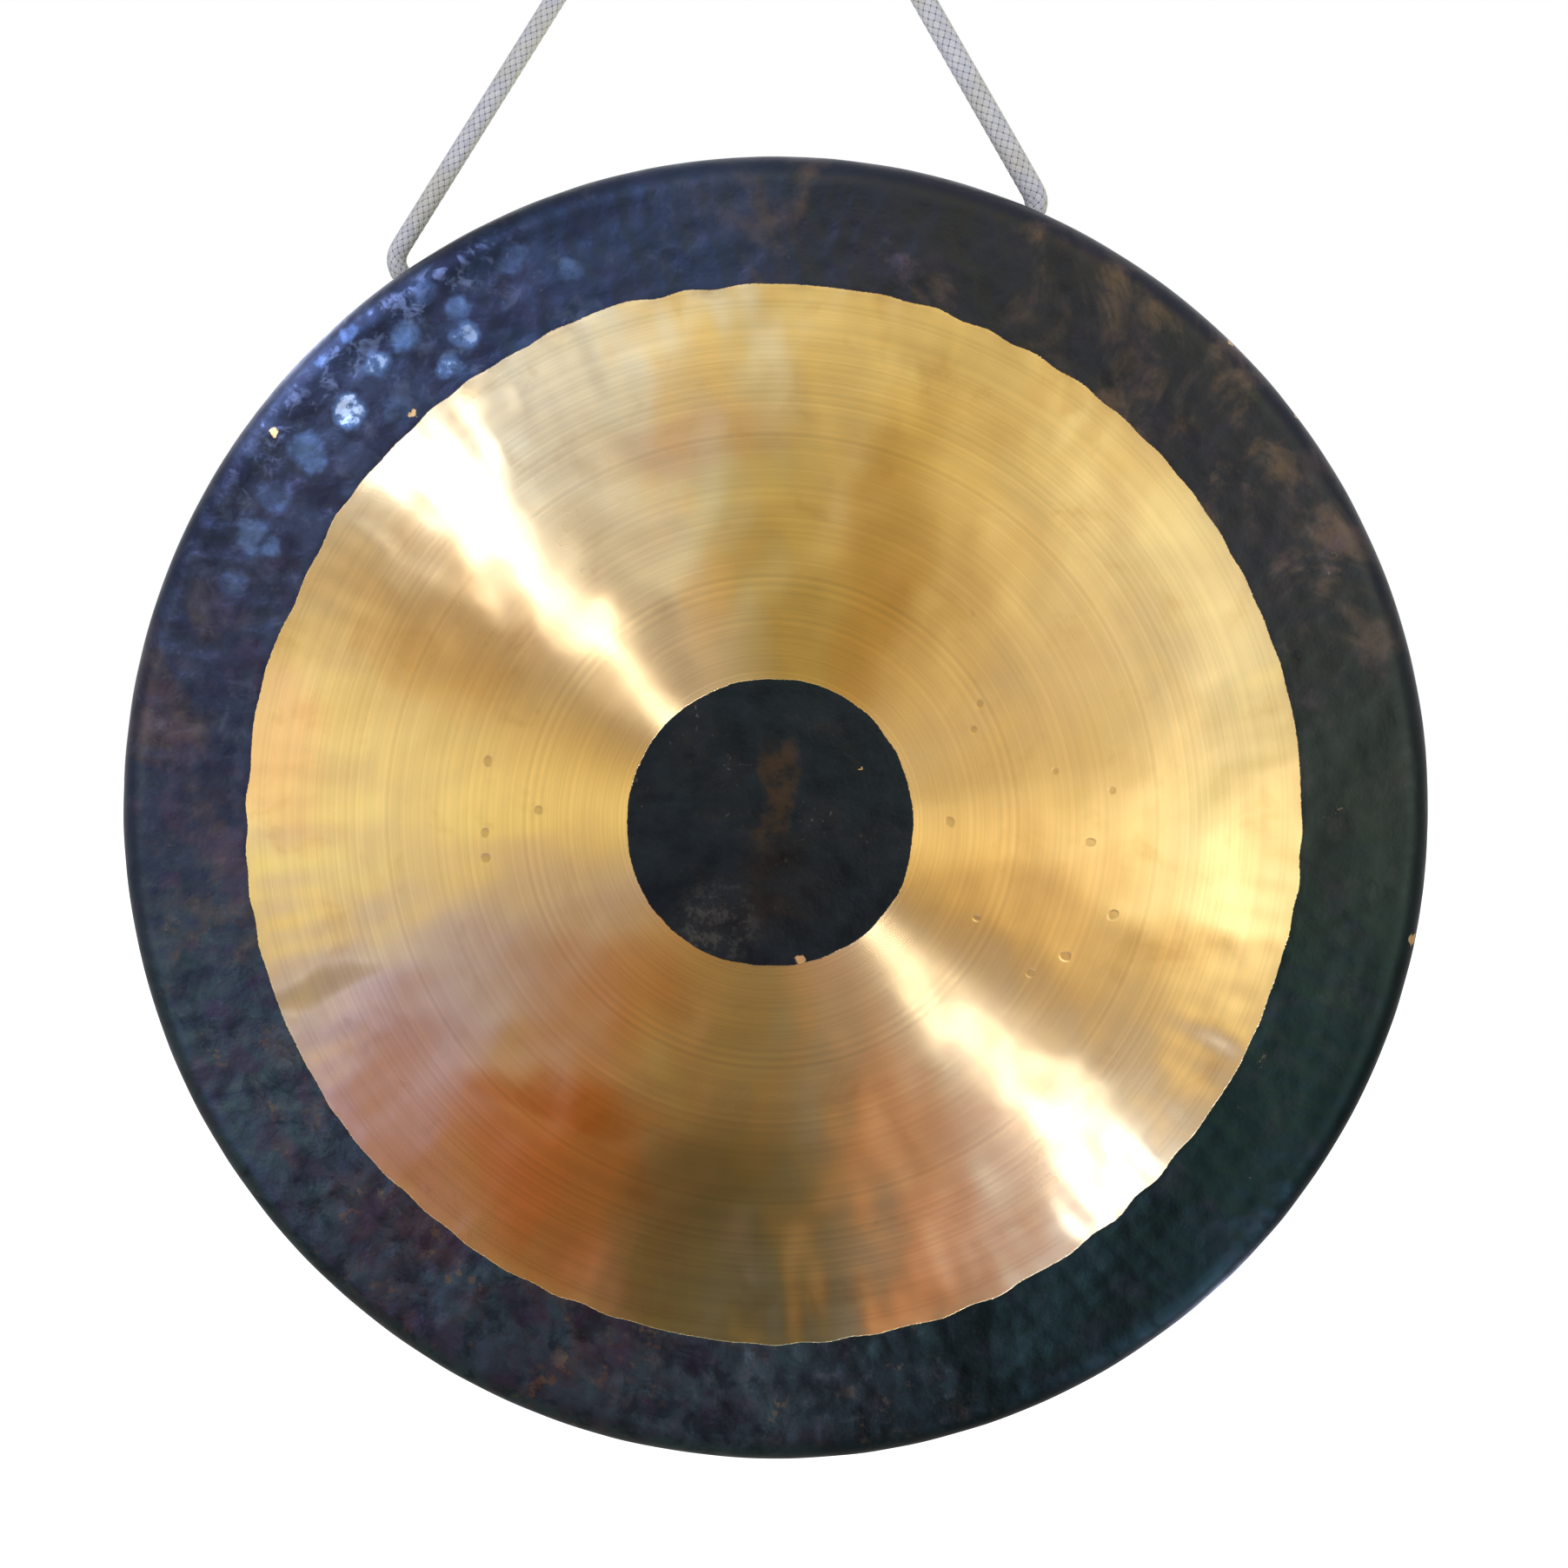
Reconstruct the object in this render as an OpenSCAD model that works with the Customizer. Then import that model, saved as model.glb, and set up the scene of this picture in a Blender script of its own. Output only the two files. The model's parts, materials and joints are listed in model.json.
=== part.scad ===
// Hung bronze gong (chau / tam tam pattern): one hammered bronze plate with a
// turned-back rim, carried by a single braided cord through two rim holes.
// Millimetres. +Z is up, the struck face looks towards -Y, +X is the viewer's
// right. The origin is the point where a hook or peg touches the inside of the
// hanging eye; the cord and both rim holes lie in the plane y = 0.

/* [Bronze plate] */
// Outside diameter at the widest point of the shoulder
gong_d = 508; // [496:2:520]
// How far the middle of the face stands in front of its shoulder
crown_rise = 9; // [5:0.5:12]
// Bronze thickness of the face
face_t = 1.5; // [1.2:0.1:1.8]
// Bronze thickness of the turned-back rim
rim_t = 2; // [1.7:0.1:2.4]
// Outside radius of the rounded shoulder between face and rim
shoulder_r = 12; // [10:0.5:14]
// Inward lean of the rim behind the shoulder, in degrees
rim_taper = 14; // [10:1:15]
// From the plane of the holes forward to the shoulder's front
rim_front = 20; // [19:0.5:23]
// From the plane of the holes back to the rim's rear edge
rim_back = 22; // [20:0.5:26]

/* [Rim holes] */
// Radius of each drilled hole
hole_r = 5.5; // [5.2:0.1:6]
// Left hole, degrees round the rim from straight up
left_hole_deg = 33; // [31:0.5:35]
// Right hole, degrees round the rim from straight up
right_hole_deg = 24.6; // [23:0.2:26]

/* [Cord] */
// Diameter of the cord in the eye and the left strand
cord_d = 7.7; // [7:0.1:8.2]
// Width of the slacker, flatter right strand
right_cord_d = 9.2; // [8.6:0.1:9.4]
// Height above the plate's centre at which the two strands would meet
apex_h = 430; // [424:1:440]
// Bend radius of the left strand where it leaves its hole
left_bend_r = 8; // [7:0.5:10]
// Bend radius of the right strand where it leaves its hole
right_bend_r = 12; // [10:0.5:14]
// Clearance between neighbouring lengths of cord at a flexing point
gap = 0.6; // [0.5:0.05:0.8]

/* [Hanging eye and knots] */
// Inside radius of the eye's crown
eye_r = 15; // [13:0.5:17]
// From the hook's contact point down to the foot of the eye
eye_drop = 58.4; // [56:0.2:64]
// Half the spacing of the eye's two legs at its foot
leg_half = 4.4; // [4.2:0.1:4.8]
// Radius of the middle line of each turn in the eye knot
eye_knot_ring = 12; // [11.75:0.25:13]
// Radius of the middle line of each turn in a stopper knot
stopper_ring = 5.2; // [5:0.1:5.6]
// Free cord beyond each stopper knot
tail_l = 27; // [15:1:34]

/* [Hidden] */
$fn = 64;

bronze = [0.66, 0.52, 0.27];
cotton = [0.80, 0.80, 0.84];

cord_r = cord_d / 2;
right_cord_r = right_cord_d / 2;

// heights of the flexing points, measured down from the hook
leg_foot_z = -eye_drop;
knot_tube = 6.5;
knot_pitch = 12;
knot_z = leg_foot_z - 20.1;
swing_z = knot_z - 21.6;
apex_z = swing_z + 9.1;            // where the strands' middle lines would cross
gong_z = apex_z - apex_h;          // centre of the plate

// section of the plate: [radius from its axis, distance in front of the holes]
gong_r = gong_d / 2;
sh_c = [gong_r - shoulder_r, rim_front - shoulder_r];
dome_slope = atan(2 * crown_rise / sh_c[0]);
sh_a0 = 90 - dome_slope;
dome_end = sh_c + shoulder_r * [cos(sh_a0), sin(sh_a0)];
dome_n = 10;
sh_n = 8;
function dome_pt(i) =
    let (q = i / dome_n) [dome_end[0] * q, dome_end[1] + crown_rise * (1 - q * q)];
function sh_pt(i, r) =
    let (a = sh_a0 + (-rim_taper - sh_a0) * i / sh_n) sh_c + r * [cos(a), sin(a)];
rim_top = sh_pt(sh_n, shoulder_r);
rim_top_in = sh_pt(sh_n, shoulder_r - rim_t);
function rim_r(h) = rim_top[0] - (rim_top[1] - h) * tan(rim_taper);
function rim_r_in(h) = rim_top_in[0] - (rim_top_in[1] - h) * tan(rim_taper);

plate_outer = concat(
    [for (i = [0:dome_n]) dome_pt(i)],
    [for (i = [1:sh_n]) sh_pt(i, shoulder_r)],
    [[rim_r(-rim_back), -rim_back]]);
plate_inner = concat(
    [[rim_r_in(-rim_back), -rim_back]],
    [for (i = [sh_n:-1:1]) sh_pt(i, shoulder_r - (face_t + (rim_t - face_t) * i / sh_n))],
    [for (i = [dome_n:-1:0]) [dome_pt(i)[0], dome_pt(i)[1] - face_t]]);

// strand geometry, for a side whose hole is a degrees from straight up
hole_out_r = rim_r(0);             // rim's outer surface at the holes
function pivot_r(r) = hole_out_r + r + gap;
function bend_tan(a, b, rb) = rb * tan((a + b) / 2);
function bend_v(a, b, r, rb) = (pivot_r(r) + bend_tan(a, b, rb)) * [sin(a), cos(a)];
function lean(a, r, rb, n = 8, b = 30) =
    n == 0 ? b
    : let (v = bend_v(a, b, r, rb)) lean(a, r, rb, n - 1, atan2(v[0], apex_h - v[1]));

// cord as a round section carried along stations [x, z, heading, radius] in the XZ plane
sides = 24;
function section(s) = [for (j = [0:sides - 1]) let (t = 360 * j / sides)
    [s[0] - s[3] * cos(t) * sin(s[2]), s[3] * sin(t), s[1] + s[3] * cos(t) * cos(s[2])]];
module cord(st) {
    n = len(st);
    polyhedron(
        points = [for (s = st) each section(s)],
        faces = concat(
            [[for (j = [sides - 1:-1:0]) j]],
            [for (k = [0:n - 2], j = [0:sides - 1]) let (b = k * sides, e = (j + 1) % sides)
                each [[b + j, b + e, b + sides + e], [b + j, b + sides + e, b + sides + j]]],
            [[for (j = [0:sides - 1]) (n - 1) * sides + j]]));
}

// stations of a domed end at c: the cord starts there, or ends there, with heading a
function dome_in(c, a, r) = [for (t = [75:-15:0])
    [c[0] - r * sin(t) * cos(a), c[1] - r * sin(t) * sin(a), a, r * cos(t)]];
function dome_out(c, a, r) = [for (t = [0:15:75])
    [c[0] + r * sin(t) * cos(a), c[1] + r * sin(t) * sin(a), a, r * cos(t)]];

// stations round an arc: centre c, middle-line radius rb, from angle a0 to a1; turn is +1 or -1
function arc(c, rb, r, a0, a1, turn, n) = [for (k = [0:n]) let (t = a0 + (a1 - a0) * k / n)
    [c[0] + rb * cos(t), c[1] + rb * sin(t), t + turn * 90, r]];

// turns of cord wound side by side round the Z axis, n of them, with the bight inside
module wound(n, ring, tube, pitch) {
    rotate_extrude() {
        for (i = [0:n - 1])
            translate([ring, (i - (n - 1) / 2) * pitch]) circle(tube);
        translate([0, -((n - 1) / 2 * pitch + tube * 0.55)])
            square([ring, (n - 1) * pitch + tube * 1.1]);
    }
}

// the loop that goes over the hook, down to its two domed feet
module hanging_eye() {
    ring = eye_r + cord_r;
    c = [0, -eye_r];
    foot = [leg_half, leg_foot_z];
    a0 = atan2(foot[1] - c[1], foot[0]) + acos(ring / norm(foot - c));
    color(cotton) cord(concat(
        dome_in(foot, a0 + 90, cord_r),
        arc(c, ring, cord_r, a0, 180 - a0, 1, 24),
        dome_out([-foot[0], foot[1]], 270 - a0, cord_r)));
}

// the overhand knot that closes the eye and locks the two strands' lengths
module eye_knot() {
    color(cotton) translate([0, 0, knot_z]) wound(3, eye_knot_ring, knot_tube, knot_pitch);
}

// one strand, drawn for the left side; the right one is mirrored
module strand(a, r, rb) {
    b = lean(a, r, rb);
    p = [0, gong_z] + pivot_r(r) * [-sin(a), cos(a)];
    c = p + rb * [cos(a), sin(a)];
    top = [-(apex_z - swing_z) * tan(b), swing_z];
    cord(concat(
        dome_in(p, 90 + a, r),
        arc(c, rb, r, 180 + a, 180 - b, -1, 10),
        dome_out(top, 90 - b, r)));
}
module left_strand() { color(cotton) strand(left_hole_deg, cord_r, left_bend_r); }
module right_strand() { color(cotton) mirror([1, 0, 0]) strand(right_hole_deg, right_cord_r, right_bend_r); }

// the bronze: crowned face, rounded shoulder, rim turned back and leaning in, two drilled holes
module gong_plate() {
    color(bronze) translate([0, 0, gong_z]) difference() {
        rotate([90, 0, 0]) rotate_extrude($fn = 180) polygon(concat(plate_outer, plate_inner));
        rim_drill(-left_hole_deg);
        rim_drill(right_hole_deg);
    }
}
module rim_drill(a) {
    rotate([0, a, 0]) translate([0, 0, gong_r - 24]) cylinder(r = hole_r, h = 40);
}

// radius at which a stopper knot's top turn bears on the inside of the rim
stop_top_r = rim_r_in(-stopper_ring) - 0.45;
stop_tube = 4;
stop_pitch = 6.8;
stop_low_r = stop_top_r - 2 * stop_tube - stop_pitch;

// a two-turn knot too big for its hole, with the neck of cord that fills the hole
module stopper_knot(a, r) {
    translate([0, 0, gong_z]) rotate([0, a, 0]) {
        translate([0, 0, (stop_top_r + stop_low_r) / 2]) wound(2, stopper_ring, stop_tube, stop_pitch);
        translate([0, 0, stop_top_r - 3]) cylinder(r = r, h = hole_out_r + 0.1 - stop_top_r + 3);
    }
}
module left_stopper_knot() { color(cotton) stopper_knot(-left_hole_deg, cord_r); }
module right_stopper_knot() { color(cotton) stopper_knot(right_hole_deg, right_cord_r - 0.2); }

// the short free end of cord inside the rim
module cord_tail(a, r) {
    top = [0, stop_low_r - 0.1];
    translate([0, 0, gong_z]) rotate([0, a, 0])
        cord(concat([[top[0], top[1], -90, r]], dome_out(top - [0, tail_l], -90, r)));
}
module left_cord_tail() { color(cotton) cord_tail(-left_hole_deg, cord_r - 0.1); }
module right_cord_tail() { color(cotton) cord_tail(right_hole_deg, cord_r); }

hanging_eye();
eye_knot();
left_strand();
right_strand();
gong_plate();
left_stopper_knot();
right_stopper_knot();
left_cord_tail();
right_cord_tail();
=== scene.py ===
"""Looks for the hung bronze gong: hammered and lathe-scraped bronze, braided cotton cord, real knots, studio."""
import json
import math

import bpy
import numpy as np
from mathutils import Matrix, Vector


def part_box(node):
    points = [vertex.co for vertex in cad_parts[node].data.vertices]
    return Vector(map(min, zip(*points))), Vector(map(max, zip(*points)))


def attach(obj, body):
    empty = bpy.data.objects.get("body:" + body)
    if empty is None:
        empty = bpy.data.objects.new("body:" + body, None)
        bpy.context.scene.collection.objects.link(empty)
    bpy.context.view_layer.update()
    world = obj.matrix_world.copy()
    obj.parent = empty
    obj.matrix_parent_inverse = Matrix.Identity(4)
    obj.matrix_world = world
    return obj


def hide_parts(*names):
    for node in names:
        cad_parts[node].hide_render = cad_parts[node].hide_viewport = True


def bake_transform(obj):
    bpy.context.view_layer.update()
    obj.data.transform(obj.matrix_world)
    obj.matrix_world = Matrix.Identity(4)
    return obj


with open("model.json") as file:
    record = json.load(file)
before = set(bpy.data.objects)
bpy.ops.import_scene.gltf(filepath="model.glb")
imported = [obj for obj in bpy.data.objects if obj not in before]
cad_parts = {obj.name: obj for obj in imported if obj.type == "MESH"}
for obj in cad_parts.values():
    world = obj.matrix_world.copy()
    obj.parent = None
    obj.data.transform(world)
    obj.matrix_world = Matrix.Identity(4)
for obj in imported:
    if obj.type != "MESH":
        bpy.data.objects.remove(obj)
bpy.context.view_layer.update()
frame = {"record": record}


MM = 0.001
rad = math.radians
JOINTS = {j["name"]: j for j in frame["record"]["behaviour"]["joints"]}

# ------------------------------------------------------------------ frame: where things are (mm)
plo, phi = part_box("gong_plate")
R_OUT = (phi[0] - plo[0]) / 2 / MM
ZC = (phi[2] + plo[2]) / 2 / MM
BACK = phi[1] / MM
CROWN = -plo[1] / MM
SH_R, TAPER, RISE, FACE_T, RIM_T = 12.0, 14.0, 9.0, 1.5, 2.0
FRONT = CROWN - RISE
SH_CX, SH_CZ = R_OUT - SH_R, FRONT - SH_R
SLOPE = math.degrees(math.atan(2 * RISE / SH_CX))
A0 = 90 - SLOPE
R_E = SH_CX + SH_R * math.cos(rad(A0))
H_E = SH_CZ + SH_R * math.sin(rad(A0))
HUB_R, RING_R = 55.1, 203.2
TILT = np.array(JOINTS["gong_tilt"]["pos_m"]) / MM
SWING_Z = JOINTS["cord_swing"]["pos_m"][2] / MM
TWIST_Z = JOINTS["cord_twist"]["pos_m"][2] / MM


def smooth(a, b, x):
    t = np.clip((x - a) / (b - a), 0, 1)
    return t * t * (3 - 2 * t)


# ------------------------------------------------------------------ mesh helpers
def mesh_from(name, verts, faces, smooth_shade=True):
    """verts in mm, faces a list or array of tuples"""
    me = bpy.data.meshes.new(name)
    me.from_pydata([tuple(v) for v in np.asarray(verts) * MM], [], [tuple(int(i) for i in f) for f in faces])
    me.validate()
    if smooth_shade:
        me.polygons.foreach_set("use_smooth", [True] * len(me.polygons))
    me.update()
    ob = bpy.data.objects.new(name, me)
    bpy.context.scene.collection.objects.link(ob)
    return ob


def attribute(ob, name, values, kind="FLOAT"):
    at = ob.data.attributes.new(name, kind, "POINT")
    key = {"FLOAT": "value", "FLOAT_VECTOR": "vector"}[kind]
    at.data.foreach_set(key, np.asarray(values, dtype=np.float32).ravel())


# ------------------------------------------------------------------ hammer work, in mm
rng = np.random.default_rng(20)


def dimple_rows(rows, pitch, size, depth, jit):
    out = []
    for r in rows:
        n = int(2 * math.pi * r / pitch)
        ph = rng.uniform(0, 2 * math.pi)
        for i in range(n):
            a = ph + 2 * math.pi * i / n + rng.normal(0, jit) / r
            rr = r + rng.normal(0, jit * 0.8)
            out.append((rr * math.cos(a), rr * math.sin(a), size * rng.uniform(0.75, 1.2), depth * rng.uniform(0.45, 1.25)))
    return out


BAND = dimple_rows([208.5, 217, 226, 234.5, 241.5], 10.2, 6.8, 0.30, 1.6)
HUB = dimple_rows([7, 20, 33, 46], 15.0, 9.0, 0.10, 2.5)
FACET = dimple_rows([70, 92, 114, 135, 154, 171, 186, 198], 27.0, 20.0, 0.20, 4.5)


def stamp(x, z, dims, round_off=0.0):
    d = np.zeros(len(x))
    for cx, cz, a, dep in dims:
        k = np.nonzero((np.abs(x - cx) < a) & (np.abs(z - cz) < a))[0]
        if not len(k):
            continue
        q = ((x[k] - cx) ** 2 + (z[k] - cz) ** 2) / (a * a)
        v = dep * np.clip(1 - q, 0, 1)
        d[k] = np.maximum(d[k], v)
    return -d


def swell(x, z, dims):
    """broad soft hammer facets that run into one another without creases"""
    d = np.zeros(len(x))
    for cx, cz, a, dep in dims:
        k = np.nonzero((np.abs(x - cx) < a) & (np.abs(z - cz) < a))[0]
        if len(k):
            d[k] += dep * np.clip(1 - ((x[k] - cx)**2 + (z[k] - cz)**2) / (a * a), 0, 1)**2
    return -d


WAVES = []
for lam, amp, n in ((95, 0.17, 7), (52, 0.110, 9), (30, 0.045, 12), (17, 0.016, 12)):
    for i in range(n):
        a = rng.uniform(0, 2 * math.pi)
        k = 2 * math.pi / (lam * rng.uniform(0.8, 1.25))
        WAVES.append((k * math.cos(a), k * math.sin(a), rng.uniform(0, 2 * math.pi), amp / math.sqrt(n) * 1.4))


def lumps(x, z):
    out = np.zeros(len(x))
    for kx, kz, ph, am in WAVES:
        out += am * np.sin(kx * x + kz * z + ph)
    return out


def wobble(th, seed, spec):
    g = np.random.default_rng(seed)
    out = np.zeros_like(th)
    for k0, k1, amp in spec:
        ks = np.arange(k0, k1 + 1)
        for k in ks:
            out += amp / math.sqrt(len(ks)) * 1.41 * np.sin(k * th + g.uniform(0, 2 * math.pi)) * g.uniform(0.5, 1.3)
    return out


def ring_edge(th):
    return wobble(th, 5, ((2, 5, 0.70), (11, 22, 0.30), (40, 74, 0.27)))


def hub_edge(th):
    return wobble(th, 9, ((2, 4, 0.35), (8, 15, 0.11), (18, 34, 0.08)))


FLUTE = [(int(k), rng.uniform(0, 2 * math.pi), rng.uniform(0.4, 1.0)) for k in rng.integers(58, 120, 9)]


def dent(rho, th, side):
    """height of the hammered surface along the front normal"""
    x, z = rho * np.cos(th), rho * np.sin(th)
    in_band = smooth(RING_R - 2.2, RING_R + 1.0, rho - ring_edge(th))
    in_hub = 1 - smooth(HUB_R - 1.5, HUB_R + 1.5, rho - hub_edge(th))
    bright = 1 - np.maximum(in_band, in_hub)
    d = lumps(x, z) * (0.35 + 0.65 * smooth(20, 120, rho)) * (1 - smooth(236, 250, rho))
    d += 0.70 * swell(x, z, FACET) * bright * smooth(58, 90, rho)
    fl = sum(am * np.sin(k * th + ph) for k, ph, am in FLUTE)
    d += 0.012 * fl * smooth(158, 186, rho) * (1 - smooth(200, 206, rho)) * bright
    d += stamp(x, z, BAND) * smooth(RING_R - 1, RING_R + 3, rho) * (1 - smooth(243, 250, rho))
    d += stamp(x, z, HUB) * in_hub
    d -= side * 0.10 * bright
    return d


# ------------------------------------------------------------------ the bronze, one closed skin
def dome(rho):
    q = rho / R_E
    h = H_E + RISE * (1 - q * q)
    s = 2 * RISE * rho / R_E**2
    n = math.hypot(s, 1)
    return rho, h, s / n, 1 / n


def bronze_rings():
    """(radius, distance in front of the holes, normal radial, normal forward, vertices, which skin)"""
    st = []
    front = np.concatenate([np.arange(3.2, 20, 3.2), np.arange(20.5, 61, 2.6), np.arange(62.2, 189.5, 2.6),
                            np.linspace(190, R_E, 27)])
    for r in front:
        n = 128 if r < 20 else 256 if r < 61 else 512 if r < 189.5 else 1024
        st.append((*dome(r), n, 1))
    for k in range(1, 10):
        a = rad(A0 + (-TAPER - A0) * k / 9)
        st.append((SH_CX + SH_R * math.cos(a), SH_CZ + SH_R * math.sin(a), math.cos(a), math.sin(a), 1024, 2))
    r0, h0 = st[-1][0], st[-1][1]
    t = math.tan(rad(TAPER))
    cn, sn = math.cos(rad(TAPER)), -math.sin(rad(TAPER))
    for h in np.linspace(h0, -BACK + 0.7, 8)[1:]:
        st.append((r0 - (h0 - h) * t, h, cn, sn, 1024, 3))
    re_, rt = r0 - (h0 + BACK) * t, RIM_T / cn
    st.append((re_ - 0.22, -BACK + 0.15, cn, sn - 0.6, 1024, 4))
    st.append((re_ - 0.75, -BACK + 0.001, 0, -1, 1024, 4))
    st.append((re_ - rt + 0.65, -BACK + 0.001, 0, -1, 1024, 4))
    st.append((re_ - rt + 0.15, -BACK + 0.25, -cn, -0.5, 1024, 4))
    ri = SH_CX + (SH_R - RIM_T) * math.cos(rad(-TAPER))
    hi = SH_CZ + (SH_R - RIM_T) * math.sin(rad(-TAPER))
    for h in np.linspace(-BACK + 1.4, hi, 6):
        st.append((ri - (hi - h) * t, h, cn, sn, 512, -3))
    for k in range(7, 0, -1):
        a = rad(A0 + (-TAPER - A0) * k / 8)
        rr = SH_R - (FACE_T + (RIM_T - FACE_T) * k / 8)
        st.append((SH_CX + rr * math.cos(a), SH_CZ + rr * math.sin(a), math.cos(a), math.sin(a), 512, -2))
    back = np.concatenate([np.linspace(R_E - 1, 190, 19), np.arange(187, 62, -3.9), np.arange(60, 21, -4.2), np.arange(18, 3, -4.6)])
    for r in back:
        n = 512 if r > 189 else 256 if r > 61 else 128 if r > 20 else 64
        rho, h, nr, nh = dome(r)
        st.append((rho, h - FACE_T, nr, nh, n, -1))
    return st


def build_bronze():
    st = bronze_rings()
    V, RHO, TH, SKIN = [], [], [], []
    start = []
    count = 0
    for rho, h, nr, nh, n, skin in st:
        th = np.arange(n) * 2 * math.pi / n
        d = np.zeros(n)
        if abs(skin) == 1:
            d = dent(np.full(n, rho), th, 1 if skin > 0 else -1)
        elif abs(skin) in (2, 3):
            g = lumps(R_OUT * 1.1 * np.cos(th), R_OUT * 1.1 * np.sin(th) + h * 3)
            d = g * 0.30 + 0.05 * np.sin(61 * th + h) * np.sin(0.45 * h + 5 * th)
            if abs(skin) == 2:
                k = smooth(SH_CX, SH_CX + 11, rho)
                d = d * k + dent(np.full(n, min(rho, R_E)), th, 0) * (1 - k)
        rr, hh = rho + nr * d, h + nh * d
        V.append(np.stack([rr * np.cos(th), -hh, ZC + rr * np.sin(th)], 1))
        RHO.append(np.full(n, rho))
        TH.append(th)
        SKIN.append(np.full(n, skin))
        start.append((count, n))
        count += n
    d0 = float(dent(np.array([0.01]), np.array([0.0]), 1)[0])
    V.append(np.array([[0, -(dome(0)[1] + d0), ZC], [0, -(dome(0)[1] - FACE_T + d0), ZC]]))
    RHO.append(np.zeros(2))
    TH.append(np.zeros(2))
    SKIN.append(np.array([1, -1]))
    faces = []
    first, n0 = start[0]
    faces += [(count, first + (j + 1) % n0, first + j) for j in range(n0)]
    for (a, n), (b, m) in zip(start[:-1], start[1:]):
        if n == m:
            j = np.arange(n)
            e = (j + 1) % n
            faces += list(map(tuple, np.stack([a + j, a + e, b + e, b + j], 1)))
        elif m == 2 * n:
            for j in range(n):
                e = (j + 1) % n
                faces += [(a + j, b + 2 * j + 1, b + 2 * j), (a + j, a + e, b + 2 * j + 1), (a + e, b + (2 * j + 2) % m, b + 2 * j + 1)]
        elif n == 2 * m:
            for j in range(m):
                e = (j + 1) % m
                faces += [(b + j, a + 2 * j, a + 2 * j + 1), (b + j, a + 2 * j + 1, b + e), (b + e, a + 2 * j + 1, a + (2 * j + 2) % n)]
        else:
            raise SystemExit("ring counts must match or double")
    last, nl = start[-1]
    faces += [(count + 1, last + j, last + (j + 1) % nl) for j in range(nl)]
    V = np.concatenate(V)
    RHO, TH, SKIN = np.concatenate(RHO), np.concatenate(TH), np.concatenate(SKIN)
    ob = mesh_from("gong_bronze", V, faces)
    return ob


# ------------------------------------------------------------------ drilled rim holes, taken out of the skin
L_DEG, R_DEG = 33.0, 24.6
HOLE_RAD = 5.5
T_TAP = math.tan(rad(TAPER))
RIM_H = SH_CZ + SH_R * math.sin(rad(-TAPER))
RIM_R0 = SH_CX + SH_R * math.cos(rad(-TAPER))
RIM_HI = SH_CZ + (SH_R - RIM_T) * math.sin(rad(-TAPER))
RIM_RI = SH_CX + (SH_R - RIM_T) * math.cos(rad(-TAPER))


def rim_out(h):
    return RIM_R0 - (RIM_H - h) * T_TAP


def rim_in(h):
    return RIM_RI - (RIM_HI - h) * T_TAP


def out_dir(deg):
    """unit vector from the gong's centre to a hole; deg is signed, positive to the right"""
    return np.array([math.sin(rad(deg)), 0.0, math.cos(rad(deg))])


def drill(ob, degs):
    verts, faces = [], []
    n = 56
    for deg in degs:
        u = out_dir(deg)
        side = np.array([u[2], 0, -u[0]])
        prof = [(236, 5.6), (rim_in(0) - 0.15, HOLE_RAD), (rim_out(0) + 0.35, HOLE_RAD), (rim_out(0) + 3.0, HOLE_RAD + 2.4)]
        prof[0] = (236, HOLE_RAD)
        base = len(verts)
        for d, r in prof:
            for k in range(n):
                a = 2 * math.pi * k / n
                verts.append(np.array([0, 0, ZC]) + u * d + r * (side * math.cos(a) + np.array([0, 1, 0]) * math.sin(a)))
        for q in range(len(prof) - 1):
            for k in range(n):
                e = (k + 1) % n
                b0, b1 = base + q * n, base + (q + 1) * n
                faces.append((b0 + k, b1 + k, b1 + e, b0 + e))
        faces.append(tuple(base + k for k in range(n)))
        faces.append(tuple(base + (len(prof) - 1) * n + k for k in range(n - 1, -1, -1)))
    cut = mesh_from("drill_tool", verts, faces, False)
    import bmesh
    bm = bmesh.new()
    bm.from_mesh(cut.data)
    bmesh.ops.recalc_face_normals(bm, faces=bm.faces)
    bm.to_mesh(cut.data)
    bm.free()
    md = ob.modifiers.new("drill", "BOOLEAN")
    md.operation, md.solver, md.object = "DIFFERENCE", "EXACT", cut
    dg = bpy.context.evaluated_depsgraph_get()
    me = bpy.data.meshes.new_from_object(ob.evaluated_get(dg), preserve_all_data_layers=True, depsgraph=dg)
    ob.modifiers.clear()
    ob.data = me
    bpy.data.objects.remove(cut)
    return len(me.vertices)


def mark_zones(ob):
    """distance to the two scraped edges, kept on the vertices"""
    co = np.zeros(len(ob.data.vertices) * 3)
    ob.data.vertices.foreach_get("co", co)
    co = co.reshape(-1, 3) / MM
    x, z = co[:, 0], co[:, 2] - ZC
    rho, th = np.hypot(x, z), np.arctan2(z, x)
    for nm in ("rim_d", "hub_d"):
        if nm in ob.data.attributes:
            ob.data.attributes.remove(ob.data.attributes[nm])
    attribute(ob, "rim_d", rho - ring_edge(th) - RING_R)
    attribute(ob, "hub_d", rho - hub_edge(th) - HUB_R)


bronze = build_bronze()
drill(bronze, (-L_DEG, R_DEG))
mark_zones(bronze)


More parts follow.
